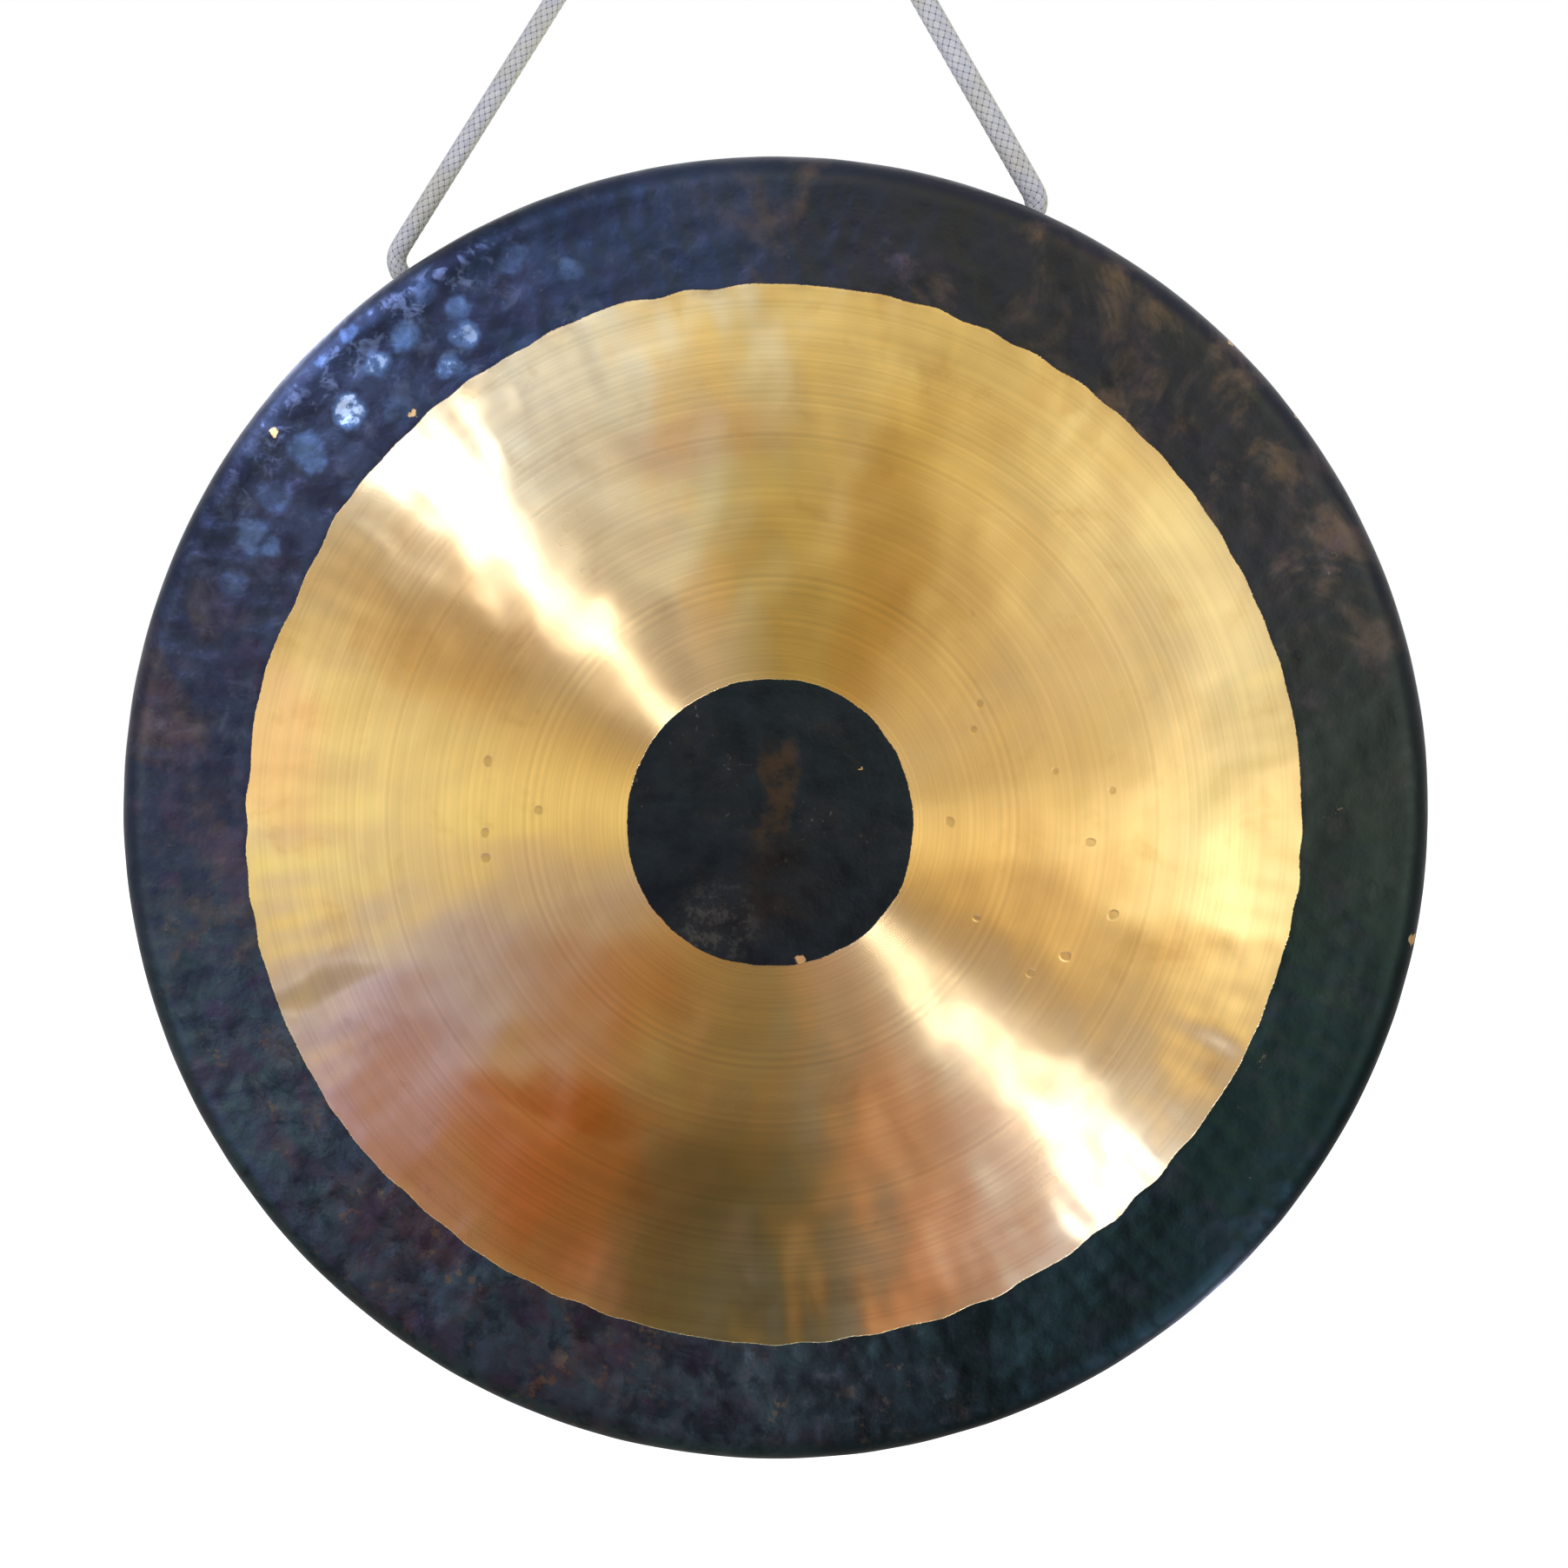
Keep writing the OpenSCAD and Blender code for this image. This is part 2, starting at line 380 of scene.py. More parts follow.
# ------------------------------------------------------------------ node helper
class Tree:
    def __init__(self, tree):
        self.t, self.n, self.l = tree, tree.nodes, tree.links

    def new(self, kind, **props):
        nd = self.n.new(kind)
        for k, v in props.items():
            setattr(nd, k, v)
        return nd

    def put(self, sock, v):
        if hasattr(v, "is_output") or hasattr(v, "links"):
            self.l.new(v, sock)
        elif v is not None:
            sock.default_value = v

    def m(self, op, a, b=None, c=None, clamp=False):
        nd = self.new("ShaderNodeMath", operation=op, use_clamp=clamp)
        for i, v in enumerate((a, b, c)):
            if v is not None:
                self.put(nd.inputs[i], v)
        return nd.outputs[0]

    def add(self, a, b): return self.m("ADD", a, b)
    def sub(self, a, b): return self.m("SUBTRACT", a, b)
    def mul(self, a, b): return self.m("MULTIPLY", a, b)
    def div(self, a, b): return self.m("DIVIDE", a, b)

    def step(self, a, b, x, lo=0.0, hi=1.0, smooth=True):
        nd = self.new("ShaderNodeMapRange", interpolation_type="SMOOTHSTEP" if smooth else "LINEAR", clamp=True)
        self.put(nd.inputs[0], x)
        for i, v in enumerate((a, b, lo, hi)):
            self.put(nd.inputs[1 + i], v)
        return nd.outputs[0]

    def vm(self, op, a, b=None, out=0, scale=None):
        nd = self.new("ShaderNodeVectorMath", operation=op)
        self.put(nd.inputs[0], a)
        if b is not None:
            self.put(nd.inputs[1], b)
        if scale is not None:
            self.put(nd.inputs["Scale"], scale)
        return nd.outputs[out]

    def xyz(self, x, y, z):
        nd = self.new("ShaderNodeCombineXYZ")
        for i, v in enumerate((x, y, z)):
            self.put(nd.inputs[i], v)
        return nd.outputs[0]

    def split(self, v):
        nd = self.new("ShaderNodeSeparateXYZ")
        self.put(nd.inputs[0], v)
        return nd.outputs[0], nd.outputs[1], nd.outputs[2]

    def mix(self, f, a, b, mode="MIX"):
        nd = self.new("ShaderNodeMix", data_type="RGBA", blend_type=mode)
        nd.clamp_factor = True
        self.put(nd.inputs[0], f)
        self.put(nd.inputs[6], rgb(a))
        self.put(nd.inputs[7], rgb(b))
        return nd.outputs[2]

    def noise(self, vec, scale, detail=3.0, rough=0.55, dist=0.0, color=False):
        nd = self.new("ShaderNodeTexNoise")
        self.put(nd.inputs["Vector"], vec)
        nd.inputs["Scale"].default_value = scale
        nd.inputs["Detail"].default_value = detail
        nd.inputs["Roughness"].default_value = rough
        nd.inputs["Distortion"].default_value = dist
        return nd.outputs[1 if color else 0]

    def ramp(self, f, stops, interp="LINEAR"):
        nd = self.new("ShaderNodeValToRGB")
        cr = nd.color_ramp
        cr.interpolation = interp
        while len(cr.elements) > 1:
            cr.elements.remove(cr.elements[-1])
        cr.elements[0].position = stops[0][0]
        cr.elements[0].color = rgb(stops[0][1])
        for p, c in stops[1:]:
            e = cr.elements.new(p)
            e.color = rgb(c)
        self.put(nd.inputs[0], f)
        return nd.outputs[0]

    def attr(self, name):
        return self.new("ShaderNodeAttribute", attribute_name=name).outputs["Fac"]

    def bump(self, height, strength=1.0, distance=1.0, normal=None):
        nd = self.new("ShaderNodeBump")
        nd.inputs["Strength"].default_value = strength
        nd.inputs["Distance"].default_value = distance
        self.put(nd.inputs["Height"], height)
        if normal is not None:
            self.put(nd.inputs["Normal"], normal)
        return nd.outputs[0]


def rgb(c):
    if isinstance(c, (tuple, list)):
        return (*c, 1.0) if len(c) == 3 else tuple(c)
    if isinstance(c, (int, float)):
        return (c, c, c, 1.0)
    return c


def material(name):
    m = bpy.data.materials.new(name)
    m.use_nodes = True
    m.node_tree.nodes.clear()
    t = Tree(m.node_tree)
    out = t.new("ShaderNodeOutputMaterial")
    bs = t.new("ShaderNodeBsdfPrincipled")
    t.l.new(bs.outputs[0], out.inputs[0])
    return m, t, bs


# ------------------------------------------------------------------ bronze: scraped bright ring, black oxide elsewhere
def bronze_material():
    m, t, bs = material("bronze_two_tone")
    co = t.new("ShaderNodeTexCoord").outputs["Object"]
    p = t.vm("SUBTRACT", co, (0, 0, ZC * MM))
    x, y, z = t.split(p)
    flat = t.xyz(x, 0.0, z)
    rho = t.vm("LENGTH", flat, out=1)
    u = t.vm("NORMALIZE", flat)
    ux, _, uz = t.split(u)
    facing = t.split(t.new("ShaderNodeTexCoord").outputs["Normal"])[1]
    front = t.step(-0.25, -0.55, facing)
    rim_d, hub_d = t.attr("rim_d"), t.attr("hub_d")
    grain = t.noise(p, 900.0, 2.0)
    jag = t.mul(t.sub(grain, 0.5), 0.7)
    band = t.step(-0.14, 0.14, t.add(rim_d, jag))
    hub = t.step(0.14, -0.14, t.add(hub_d, jag))
    oxide = t.m("MAXIMUM", band, hub)

    # where on the disc, as soft directional weights
    def toward(deg, w0, w1):
        d = t.add(t.mul(ux, math.cos(rad(deg))), t.mul(uz, math.sin(rad(deg))))
        return t.step(math.cos(rad(w1)), math.cos(rad(w0)), d)

    # --- scraped metal
    n1 = t.noise(p, 14.0, 4.0, 0.6, 0.6)
    n2 = t.noise(p, 46.0, 4.0, 0.62, 0.4)
    n3 = t.noise(p, 7.0, 2.0, 0.5, 1.2)
    metal = t.mix(t.step(0.070, 0.195, rho), (0.80, 0.545, 0.215), (0.90, 0.720, 0.400))
    metal = t.mix(t.mul(t.step(0.35, 0.7, n1), 0.5), metal, (0.775, 0.520, 0.200))
    metal = t.mix(t.mul(t.step(0.52, 0.78, n2), 0.55), metal, (0.66, 0.43, 0.165))
    metal = t.mix(t.mul(t.step(0.50, 0.72, n3), 0.35), metal, (0.70, 0.50, 0.25))
    ringv = t.xyz(t.mul(rho, 1.0), 0.0, 0.0)
    groove = t.noise(ringv, 620.0, 2.0, 0.7)
    groove2 = t.noise(ringv, 150.0, 2.0, 0.6)
    lathe = t.add(t.mul(t.sub(groove, 0.5), 0.44), t.mul(t.sub(groove2, 0.5), 0.24))
    metal = t.mix(1.0, metal, t.new_grey(t.add(1.0, lathe)), "MULTIPLY")
    # heat and wear tints left in the scraped metal, partly painted reflection, each a soft patch: (x, z, half sizes,
    # turn, colour, hard edge)
    warp = t.vm("SCALE", t.vm("SUBTRACT", t.noise(p, 17.0, 2.0, 0.45, 0.0, True), (0.5, 0.5, 0.5)), scale=0.050)
    loose = t.vm("ADD", flat, warp)
    trim = t.vm("ADD", flat, t.vm("SCALE", warp, scale=0.28))

    def patch(at, cx, cz, rx, rz, deg, soft, power=2):
        v = t.vm("SUBTRACT", at, (cx * MM, 0.0, cz * MM))
        cs, sn = math.cos(rad(deg)), math.sin(rad(deg))
        a = t.vm("DOT_PRODUCT", v, (cs / (rx * MM), 0.0, sn / (rx * MM)), out=1)
        b = t.vm("DOT_PRODUCT", v, (-sn / (rz * MM), 0.0, cs / (rz * MM)), out=1)
        q = t.add(t.m("POWER", t.m("ABSOLUTE", a), power), t.m("POWER", t.m("ABSOLUTE", b), power))
        return t.step(1.0 + soft, 1.0 - soft, q)

    for cx, cz, rx, rz, deg, col, soft, power in (
            (-12, -112, 36, 40, 0, (0.93, 0.94, 0.90), 0.90, 3),
            (-92, -134, 32, 38, 20, (1.02, 0.73, 0.48), 0.98, 2),
            (-84, -106, 34, 8, -14, (0.90, 0.74, 0.58), 0.98, 2),
            (-84, -158, 70, 48, 25, (0.92, 0.80, 0.68), 0.98, 2),
            (-160, -118, 38, 60, -38, (0.96, 0.82, 0.92), 0.98, 2),
            (-128, -62, 52, 24, 8, (0.94, 0.95, 1.08), 0.98, 2),
            (-66, -62, 30, 26, 30, (0.96, 0.82, 0.72), 0.98, 2),
            (46, -150, 26, 58, 6, (1.00, 0.86, 0.70), 0.98, 2),
            (86, -142, 28, 46, -40, (1.00, 0.94, 0.90), 0.98, 2),
            (46, 106, 14, 62, -18, (0.84, 0.76, 0.60), 0.98, 2),
            (64, 142, 32, 22, 15, (0.95, 0.92, 0.86), 0.98, 2),
            (-122, 84, 46, 26, -30, (0.92, 0.82, 0.70), 0.98, 2),
            (2, 100, 22, 66, 0, (0.88, 0.90, 0.80), 0.98, 2),
            (-178, -62, 24, 5, 14, (0.74, 0.68, 0.52), 0.98, 2),
            (-190, 30, 20, 26, 0, (1.04, 0.92, 1.02), 0.98, 2),
            (-188, -36, 22, 20, 0, (1.12, 1.10, 0.90), 0.98, 2),
            (-20, 146, 34, 12, 20, (0.91, 0.83, 0.86), 0.98, 2),
            (112, 20, 50, 80, 0, (0.96, 0.91, 0.88), 0.98, 2),
            (120, -96, 40, 26, -30, (1.02, 0.97, 0.84), 0.98, 2)):
        metal = t.mix(t.mul(patch(loose, cx, cz, rx, rz, deg, soft, power), front), metal, col, "MULTIPLY")
    # painted shade: a dark greenish patch low on the scraped ring, at the bottom
    metal = t.mix(t.mul(patch(trim, -19, -190, 46, 68, 0, 0.85, 3), front), metal, (0.55, 0.60, 0.53), "MULTIPLY")
    # dings: small crescents scattered on the scraped ring
    vo = t.new("ShaderNodeTexVoronoi", feature="F1")
    t.put(vo.inputs["Vector"], t.vm("ADD", p, t.vm("SCALE", t.noise(p, 120.0, 1.0, 0.5, 0.0, True), scale=0.003)))
    vo.inputs["Scale"].default_value = 96.0
    pick = t.step(0.50, 0.54, t.split(vo.outputs["Color"])[0])
    worn_at = t.m("MAXIMUM", patch(flat, 96, 8, 46, 70, 12, 0.3), patch(flat, -94, 12, 30, 32, 0, 0.3))
    ding = t.mul(t.mul(t.step(0.21, 0.13, vo.outputs["Distance"]), pick), worn_at)
    metal = t.mix(t.mul(ding, 0.50), metal, (0.42, 0.26, 0.10))

    # --- oxide
    q1 = t.noise(p, 20.0, 6.0, 0.62, 0.8)
    q2 = t.noise(t.vm("ADD", p, (3.1, 0.7, 1.9)), 34.0, 5.0, 0.65, 0.3)
    q3 = t.noise(t.vm("ADD", p, (7.7, 2.2, 5.5)), 75.0, 4.0, 0.6)
    # oxide tone round the disc: the blue towards the upper left and the top is painted blue sheen; darker towards the
    # upper right and the lower right, teal towards the lower left
    ox = t.mix(toward(150, 10, 95), (0.022, 0.029, 0.028), (0.038, 0.048, 0.082))
    ox = t.mix(toward(98, 5, 40), ox, (0.028, 0.041, 0.076))
    ox = t.mix(toward(52, 15, 50), ox, (0.027, 0.029, 0.039))
    ox = t.mix(toward(246, 25, 70), ox, (0.062, 0.102, 0.112))
    ox = t.mix(toward(312, 15, 50), ox, (0.0115, 0.0240, 0.0230))
    where = t.m("MAXIMUM", t.m("MAXIMUM", toward(52, 20, 50), t.mul(toward(186, 8, 40), 0.9)), t.mul(toward(232, 12, 45), 0.9))
    brown = t.mul(t.mul(t.step(0.47, 0.62, q1), t.step(0.36, 0.58, q2)), where)
    ox = t.mix(t.mul(brown, 0.85), ox, (0.098, 0.073, 0.066))
    mauve = t.mul(t.step(0.56, 0.70, q2), t.step(0.42, 0.60, q3))
    ox = t.mix(t.mul(mauve, t.add(0.12, t.mul(where, 0.5))), ox, (0.085, 0.066, 0.090))
    teal = t.mul(t.step(0.50, 0.64, q3), toward(240, 20, 80))
    ox = t.mix(t.mul(teal, 0.45), ox, (0.030, 0.062, 0.066))
    rust = t.mul(t.mul(t.step(0.60, 0.70, q3), t.step(0.52, 0.62, q1)), toward(235, 20, 60))
    ox = t.mix(t.mul(rust, 0.7), ox, (0.15, 0.075, 0.028))
    low_left = toward(236, 22, 62)
    q4 = t.noise(t.vm("ADD", p, (1.3, 4.4, 8.2)), 70.0, 5.0, 0.70, 0.5)
    q5 = t.noise(t.vm("ADD", p, (9.1, 3.3, 0.4)), 120.0, 4.0, 0.65, 0.3)
    ox = t.mix(t.mul(t.step(0.46, 0.64, q4), t.add(t.mul(low_left, 0.50), 0.16)), ox, (0.016, 0.026, 0.031))
    ox = t.mix(t.mul(t.mul(t.step(0.50, 0.66, q5), t.step(0.54, 0.42, q4)), t.mul(low_left, 0.80)), ox, (0.092, 0.110, 0.124))
    ox = t.mix(t.mul(t.mul(t.step(0.57, 0.66, t.noise(t.vm("ADD", p, (5.5, 6.1, 2.7)), 95.0, 4.0, 0.7)), t.step(0.46, 0.60, q1)), t.mul(low_left, 0.85)),
               ox, (0.165, 0.130, 0.080))
    # high on the left: darker clouds, and lighter blue patches that are painted blue sheen
    high_left = toward(140, 22, 52)
    ox = t.mix(t.mul(t.step(0.40, 0.60, t.noise(t.vm("ADD", p, (4.2, 1.6, 7.3)), 55.0, 5.0, 0.66, 0.4)), t.mul(high_left, 0.62)), ox, (0.021, 0.021, 0.040))
    ox = t.mix(t.mul(t.step(0.53, 0.68, t.noise(t.vm("ADD", p, (8.8, 2.9, 3.1)), 80.0, 4.0, 0.66, 0.4)), t.mul(high_left, 0.40)), ox, (0.080, 0.095, 0.140))
    plum = t.noise(t.vm("ADD", p, (2.2, 8.4, 6.6)), 60.0, 4.0, 0.65)
    ox = t.mix(t.mul(t.step(0.50, 0.66, plum), t.add(t.mul(toward(215, 30, 70), 0.35), 0.10)), ox, (0.075, 0.050, 0.085))
    hubc = t.mix(t.step(0.45, 0.75, q2), (0.021, 0.028, 0.033), (0.034, 0.034, 0.034))
    streak = t.mul(t.step(0.0085, 0.0025, t.m("ABSOLUTE", t.add(t.sub(x, 0.002), t.mul(t.sub(q2, 0.5), 0.03)))), t.mul(t.step(-0.020, 0.000, z), t.step(0.036, 0.026, z)))
    hubc = t.mix(t.mul(streak, t.step(0.44, 0.58, q3, 0.25, 0.90)), hubc, (0.062, 0.042, 0.026))
    fan = t.vm("DISTANCE", flat, (0.001, 0.0, -0.026), out=1)
    hubc = t.mix(t.mul(t.step(0.026, 0.008, fan), t.step(0.38, 0.60, q2, 0.2, 0.75)), hubc, (0.034, 0.027, 0.022))
    dust = t.step(0.021, 0.009, t.vm("DISTANCE", flat, (-0.021, 0.0, -0.038), out=1))
    hubc = t.mix(t.mul(dust, t.step(0.46, 0.62, t.noise(p, 260.0, 4.0, 0.7), 0.1, 0.70)), hubc, (0.090, 0.092, 0.080))
    speck = t.mul(t.step(0.64, 0.70, t.noise(p, 420.0, 2.0)), t.step(0.50, 0.62, q2))
    hubc = t.mix(t.mul(speck, 0.5), hubc, (0.14, 0.14, 0.13))
    # painted shade: the outer shoulder made near black towards the upper left and lower right
    painted_shoulder_shade = t.m("MAXIMUM", t.mul(toward(132, 18, 36), 0.46), t.mul(toward(-55, 20, 46), 0.25))
    ox = t.mix(t.mul(t.step(0.229, 0.244, rho), painted_shoulder_shade), ox, (0.003, 0.005, 0.007))
    ox = t.mix(hub, ox, hubc)
    worn = t.mul(t.step(0.655, 0.70, t.noise(p, 260.0, 3.0, 0.7)), t.mul(t.step(0.56, 0.64, q2), band))
    ox = t.mix(t.mul(worn, 0.35), ox, (0.20, 0.17, 0.14))
    # hammer dimples high on the left painted with blue-white highlights, each a soft round patch with a cool edge
    painted_dimple_glints = None
    warp = t.vm("SCALE", t.vm("SUBTRACT", t.noise(p, 130.0, 2.0, 0.5, 0.0, True), (0.5, 0.5, 0.5)), scale=0.0075)
    for mx_, mz_, r, amt in ((-114.2, 198.3, 5.2, 0.50), (-112.0, 187.6, 5.4, 0.62), (-118.8, 176.6, 4.8, 0.62),
                             (-135.5, 187.4, 5.6, 0.48), (-145.5, 178.2, 5.4, 0.66), (-157.4, 160.4, 6.2, 1.00),
                             (-174.0, 146.5, 7.0, 0.42), (-171.5, 141.0, 4.2, 0.50), (-186.5, 128.6, 6.6, 0.25),
                             (-196.0, 113.4, 7.0, 0.30), (-189.5, 109.6, 4.0, 0.40), (-92.0, 216.0, 5.5, 0.22),
                             (-72.0, 211.0, 4.4, 0.20), (-157.0, 190.0, 3.2, 0.22), (-167.5, 180.0, 2.8, 0.18),
                             (-127.0, 205.0, 4.8, 0.22), (-204.0, 96.0, 6.0, 0.18), (-139.0, 160.0, 6.0, 0.20)):
        dd = t.vm("DISTANCE", t.vm("ADD", flat, warp), (mx_ * MM, 0.0, mz_ * MM), out=1)
        c = t.mul(t.step(r * MM * 1.25, r * MM * 0.60, dd), amt)
        painted_dimple_glints = c if painted_dimple_glints is None else t.m("MAXIMUM", painted_dimple_glints, c)
    fine = t.noise(p, 210.0, 3.0, 0.65)
    # small painted blue glints along the shoulder there, towards the upper left
    painted_shoulder_glints = t.mul(t.mul(t.step(0.2300, 0.2350, rho), t.step(0.2500, 0.2460, rho)), t.mul(toward(131, 9, 21), front))
    painted_shoulder_glints = t.mul(painted_shoulder_glints, t.step(0.50, 0.66, t.noise(t.vm("ADD", p, (6.4, 0.9, 2.6)), 130.0, 3.0, 0.66, 0.5)))
    ox = t.mix(t.mul(painted_shoulder_glints, 0.42), ox, (0.15, 0.19, 0.30))
    painted_dimple_glints = t.mul(t.mul(painted_dimple_glints, front), t.step(0.28, 0.66, fine, 0.45, 1.25))
    # painted highlight: blue at the edge of each dimple, blue-white in the middle
    ox = t.mix(t.mul(painted_dimple_glints, 0.90), ox, (0.115, 0.200, 0.370))
    ox = t.mix(t.mul(t.step(0.55, 1.0, painted_dimple_glints), 0.75), ox, (0.48, 0.58, 0.72))
    # bright nicks through the oxide
    chips = None
    for cx, cz, r in ((-0.188, 0.1520, 0.0010), (0.178, 0.178, 0.0012), (0.203, 0.150, 0.0011), (0.245, -0.052, 0.0014),
                      (0.0090, -0.0540, 0.0013), (0.0335, 0.019, 0.0004), (-0.134, 0.1575, 0.0010)):
        dd = t.vm("DISTANCE", flat, t.vm("ADD", (cx, 0, cz), t.vm("SCALE", t.noise(p, 500.0, 1.0, 0.5, 0.0, True), scale=0.0026)), out=1)
        c = t.step(r * 1.15, r * 0.75, t.sub(dd, 0.0011))
        chips = c if chips is None else t.m("MAXIMUM", chips, c)
    chips = t.mul(t.mul(chips, t.step(0.0, 0.2, oxide)), t.step(-0.25, -0.50, facing))
    ox = t.mix(chips, ox, (0.72, 0.46, 0.20))

    base = t.mix(oxide, metal, ox)
    t.put(bs.inputs["Base Color"], base)
    bs.inputs["Metallic"].default_value = 1.0
    r_metal = t.add(0.270, t.mul(t.sub(n1, 0.5), 0.04))
    r_ox = t.add(0.36, t.mul(t.sub(q3, 0.5), 0.35))
    t.put(bs.inputs["Roughness"], t.add(t.mul(r_ox, oxide), t.mul(r_metal, t.sub(1.0, oxide))))
    t.put(bs.inputs["Anisotropic"], t.mul(t.sub(1.0, oxide), 1.0))
    tw = t.new("ShaderNodeVectorTransform", vector_type="VECTOR", convert_from="OBJECT", convert_to="WORLD")
    t.put(tw.inputs[0], u)
    t.put(bs.inputs["Tangent"], tw.outputs[0])
    # fine relief: scraper chatter on the metal, pitted skin on the oxide
    chatter = t.mul(t.mul(t.sub(groove2, 0.5), 0.00004), t.sub(1.0, oxide))
    pits = t.mul(t.add(t.mul(q3, 0.00035), t.add(t.mul(t.noise(p, 300.0, 3.0), 0.00008), t.mul(grain, 0.00002))), oxide)
    relief = t.sub(t.add(chatter, pits), t.mul(ding, 0.00006))
    t.put(bs.inputs["Normal"], t.bump(relief))
    return m


def new_grey(self, v):
    nd = self.new("ShaderNodeCombineColor")
    for i in range(3):
        self.put(nd.inputs[i], v)
    return nd.outputs[0]


Tree.new_grey = new_grey

bronze.data.materials.append(bronze_material())
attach(bronze, "gong")
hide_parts("gong_plate")


# ------------------------------------------------------------------ cord: one braided length, really knotted
CR, FLAT_W, FLAT_T, GAP = 3.85, 4.6, 3.25, 0.6
EYE_R, FOOT_X = 15.0, 4.4
FOOT_Z = TWIST_Z
KNOT_Z = FOOT_Z - 20.1
APEX_Z = SWING_Z + 9.1
APEX_H = APEX_Z - ZC


def resample(c, n=None, step=None):
    d = np.r_[0, np.cumsum(np.linalg.norm(np.diff(c, axis=0), axis=1))]
    if n is None:
        n = int(round(d[-1] / step)) + 1
    s = np.linspace(0, d[-1], n)
    return np.stack([np.interp(s, d, c[:, k]) for k in range(3)], 1)


def unit(v):
    return v / np.linalg.norm(v)


def bez(p, tp, q, tq, n=34, f=0.4):
    k = np.linspace(0, 1, n)[:, None]
    l = np.linalg.norm(q - p) * f
    return (1 - k)**3 * p + 3 * (1 - k)**2 * k * (p + tp * l) + 3 * (1 - k) * k * k * (q - tq * l) + k**3 * q


def transport(c, first=(0.0, 1.0, 0.0)):
    """frame that turns along the line without spinning"""
    t = np.gradient(c, axis=0)
    t /= np.linalg.norm(t, axis=1, keepdims=True)
    n = unit(np.cross(np.cross(t[0], first), t[0]))
    out = [n]
    for i in range(1, len(c)):
        v = out[-1] - t[i] * (out[-1] @ t[i])
        out.append(v / math.sqrt(v @ v))
    n = np.array(out)
    return t, n, np.cross(t, n)


def tighten(ropes, radii, clamp, iters, final, soft=0.06, skip=1.7, inner=4):
    """pull each rope through itself until it is as short as final says; its ends stay put and it can't cross itself"""
    pts = np.concatenate(ropes).astype(float)
    ns = [len(r) for r in ropes]
    off = np.cumsum([0] + ns)
    n = len(pts)
    rid = np.concatenate([np.full(m, i) for i, m in enumerate(ns)])
    idx = np.concatenate([np.arange(m) for m in ns])
    w = np.ones(n)
    for a, b in zip(off[:-1], off[1:]):
        w[a:a + clamp] = 0
        w[b - clamp:b] = 0
    size = np.array([radii[i] for i in rid])
    dm = size[:, None] + size[None, :]
    iu = np.triu_indices(n, 1)
    len0 = [np.linalg.norm(np.diff(r, axis=0), axis=1).sum() for r in ropes]
    for s in range(iters):
        f = min(1, s / (iters * 0.8))
        hs = [(l0 + (le - l0) * f) / (m - 1) for l0, le, m in zip(len0, final, ns)]
        if s % 10 == 0:
            hh = np.array([hs[i] for i in rid])
            near = (rid[:, None] == rid[None, :]) & (np.abs(idx[:, None] - idx[None, :]) * hh[:, None] < skip * dm)
            d = np.linalg.norm(pts[:, None] - pts[None], axis=2)
            ok = ((~near) & (d < dm * 1.35))[iu]
            ii, jj, dd = iu[0][ok], iu[1][ok], dm[iu][ok]
        for _ in range(inner):
            for k, (a, b) in enumerate(zip(off[:-1], off[1:])):
                q, wt = pts[a:b], w[a:b]
                for par in (0, 1):
                    i = np.arange(par, len(q) - 1, 2)
                    v = q[i + 1] - q[i]
                    le = np.linalg.norm(v, axis=1)
                    ws = wt[i] + wt[i + 1]
                    c = v * np.where(ws > 0, (1 - hs[k] / le) / np.maximum(ws, 1e-9), 0)[:, None]
                    q[i] += c * wt[i][:, None]
                    q[i + 1] -= c * wt[i + 1][:, None]
                q[1:-1] += soft * (0.5 * (q[:-2] + q[2:]) - q[1:-1]) * wt[1:-1][:, None]
            v = pts[jj] - pts[ii]
            le = np.linalg.norm(v, axis=1)
            m = le < dd
            if m.any():
                c = v[m] * ((dd[m] - le[m]) / np.maximum(le[m], 1e-6) * 0.3)[:, None]
                np.add.at(pts, ii[m], -c * w[ii[m]][:, None])
                np.add.at(pts, jj[m], c * w[jj[m]][:, None])
    return [pts[a:b] for a, b in zip(off[:-1], off[1:])]


def trefoil(scale, reach=2.2):
    t = np.linspace(-reach, reach, 300)
    return np.c_[t**3 - 3 * t, t**4 - 4 * t * t + 1.5, t**5 / 5 - 2 * t] * scale


def overhand():
    """a tightened overhand knot on the Z axis, running upwards"""
    c = trefoil(4.2)
    lo = bez(c[0], unit(c[0] - c[1]), np.array([0, 0, -45.0]), np.array([0, 0, -1.0]), 40)
    hi = bez(c[-1], unit(c[-1] - c[-2]), np.array([0, 0, 45.0]), np.array([0, 0, 1.0]), 40)
    c = resample(np.concatenate([lo[::-1][:-1], c, hi[1:]]), 120)
    return tighten([c], [3.6], 3, 260, [150])[0]


def strand(deg, r, rb, s):
    """middle line from the pivot up to the eye knot; s is -1 on the left, +1 on the right"""
    a = rad(deg)
    pr = rim_out(0) + r + GAP
    if s > 0:
        pr, rb = pr - 2.2, rb * 0.65
    b = rad(30)
    for _ in range(10):
        v = (pr + rb * math.tan((a + b) / 2)) * np.array([math.sin(a), math.cos(a)])
        b = math.atan2(v[0], APEX_H - v[1])
    p = pr * np.array([-math.sin(a), math.cos(a)])
    c = p + rb * np.array([math.cos(a), math.sin(a)])
    pts = [c + rb * np.array([math.cos(t), math.sin(t)]) for t in np.linspace(math.pi + a, math.pi - b, 24)]
    top = np.array([-(APEX_Z - SWING_Z) * math.tan(b), SWING_Z - ZC])
    pts += [pts[-1] + (top - pts[-1]) * k for k in np.linspace(0, 1, 60)[1:]]
    q = np.array(pts)
    return np.stack([-s * q[:, 0], np.zeros(len(q)), q[:, 1] + ZC], 1), b


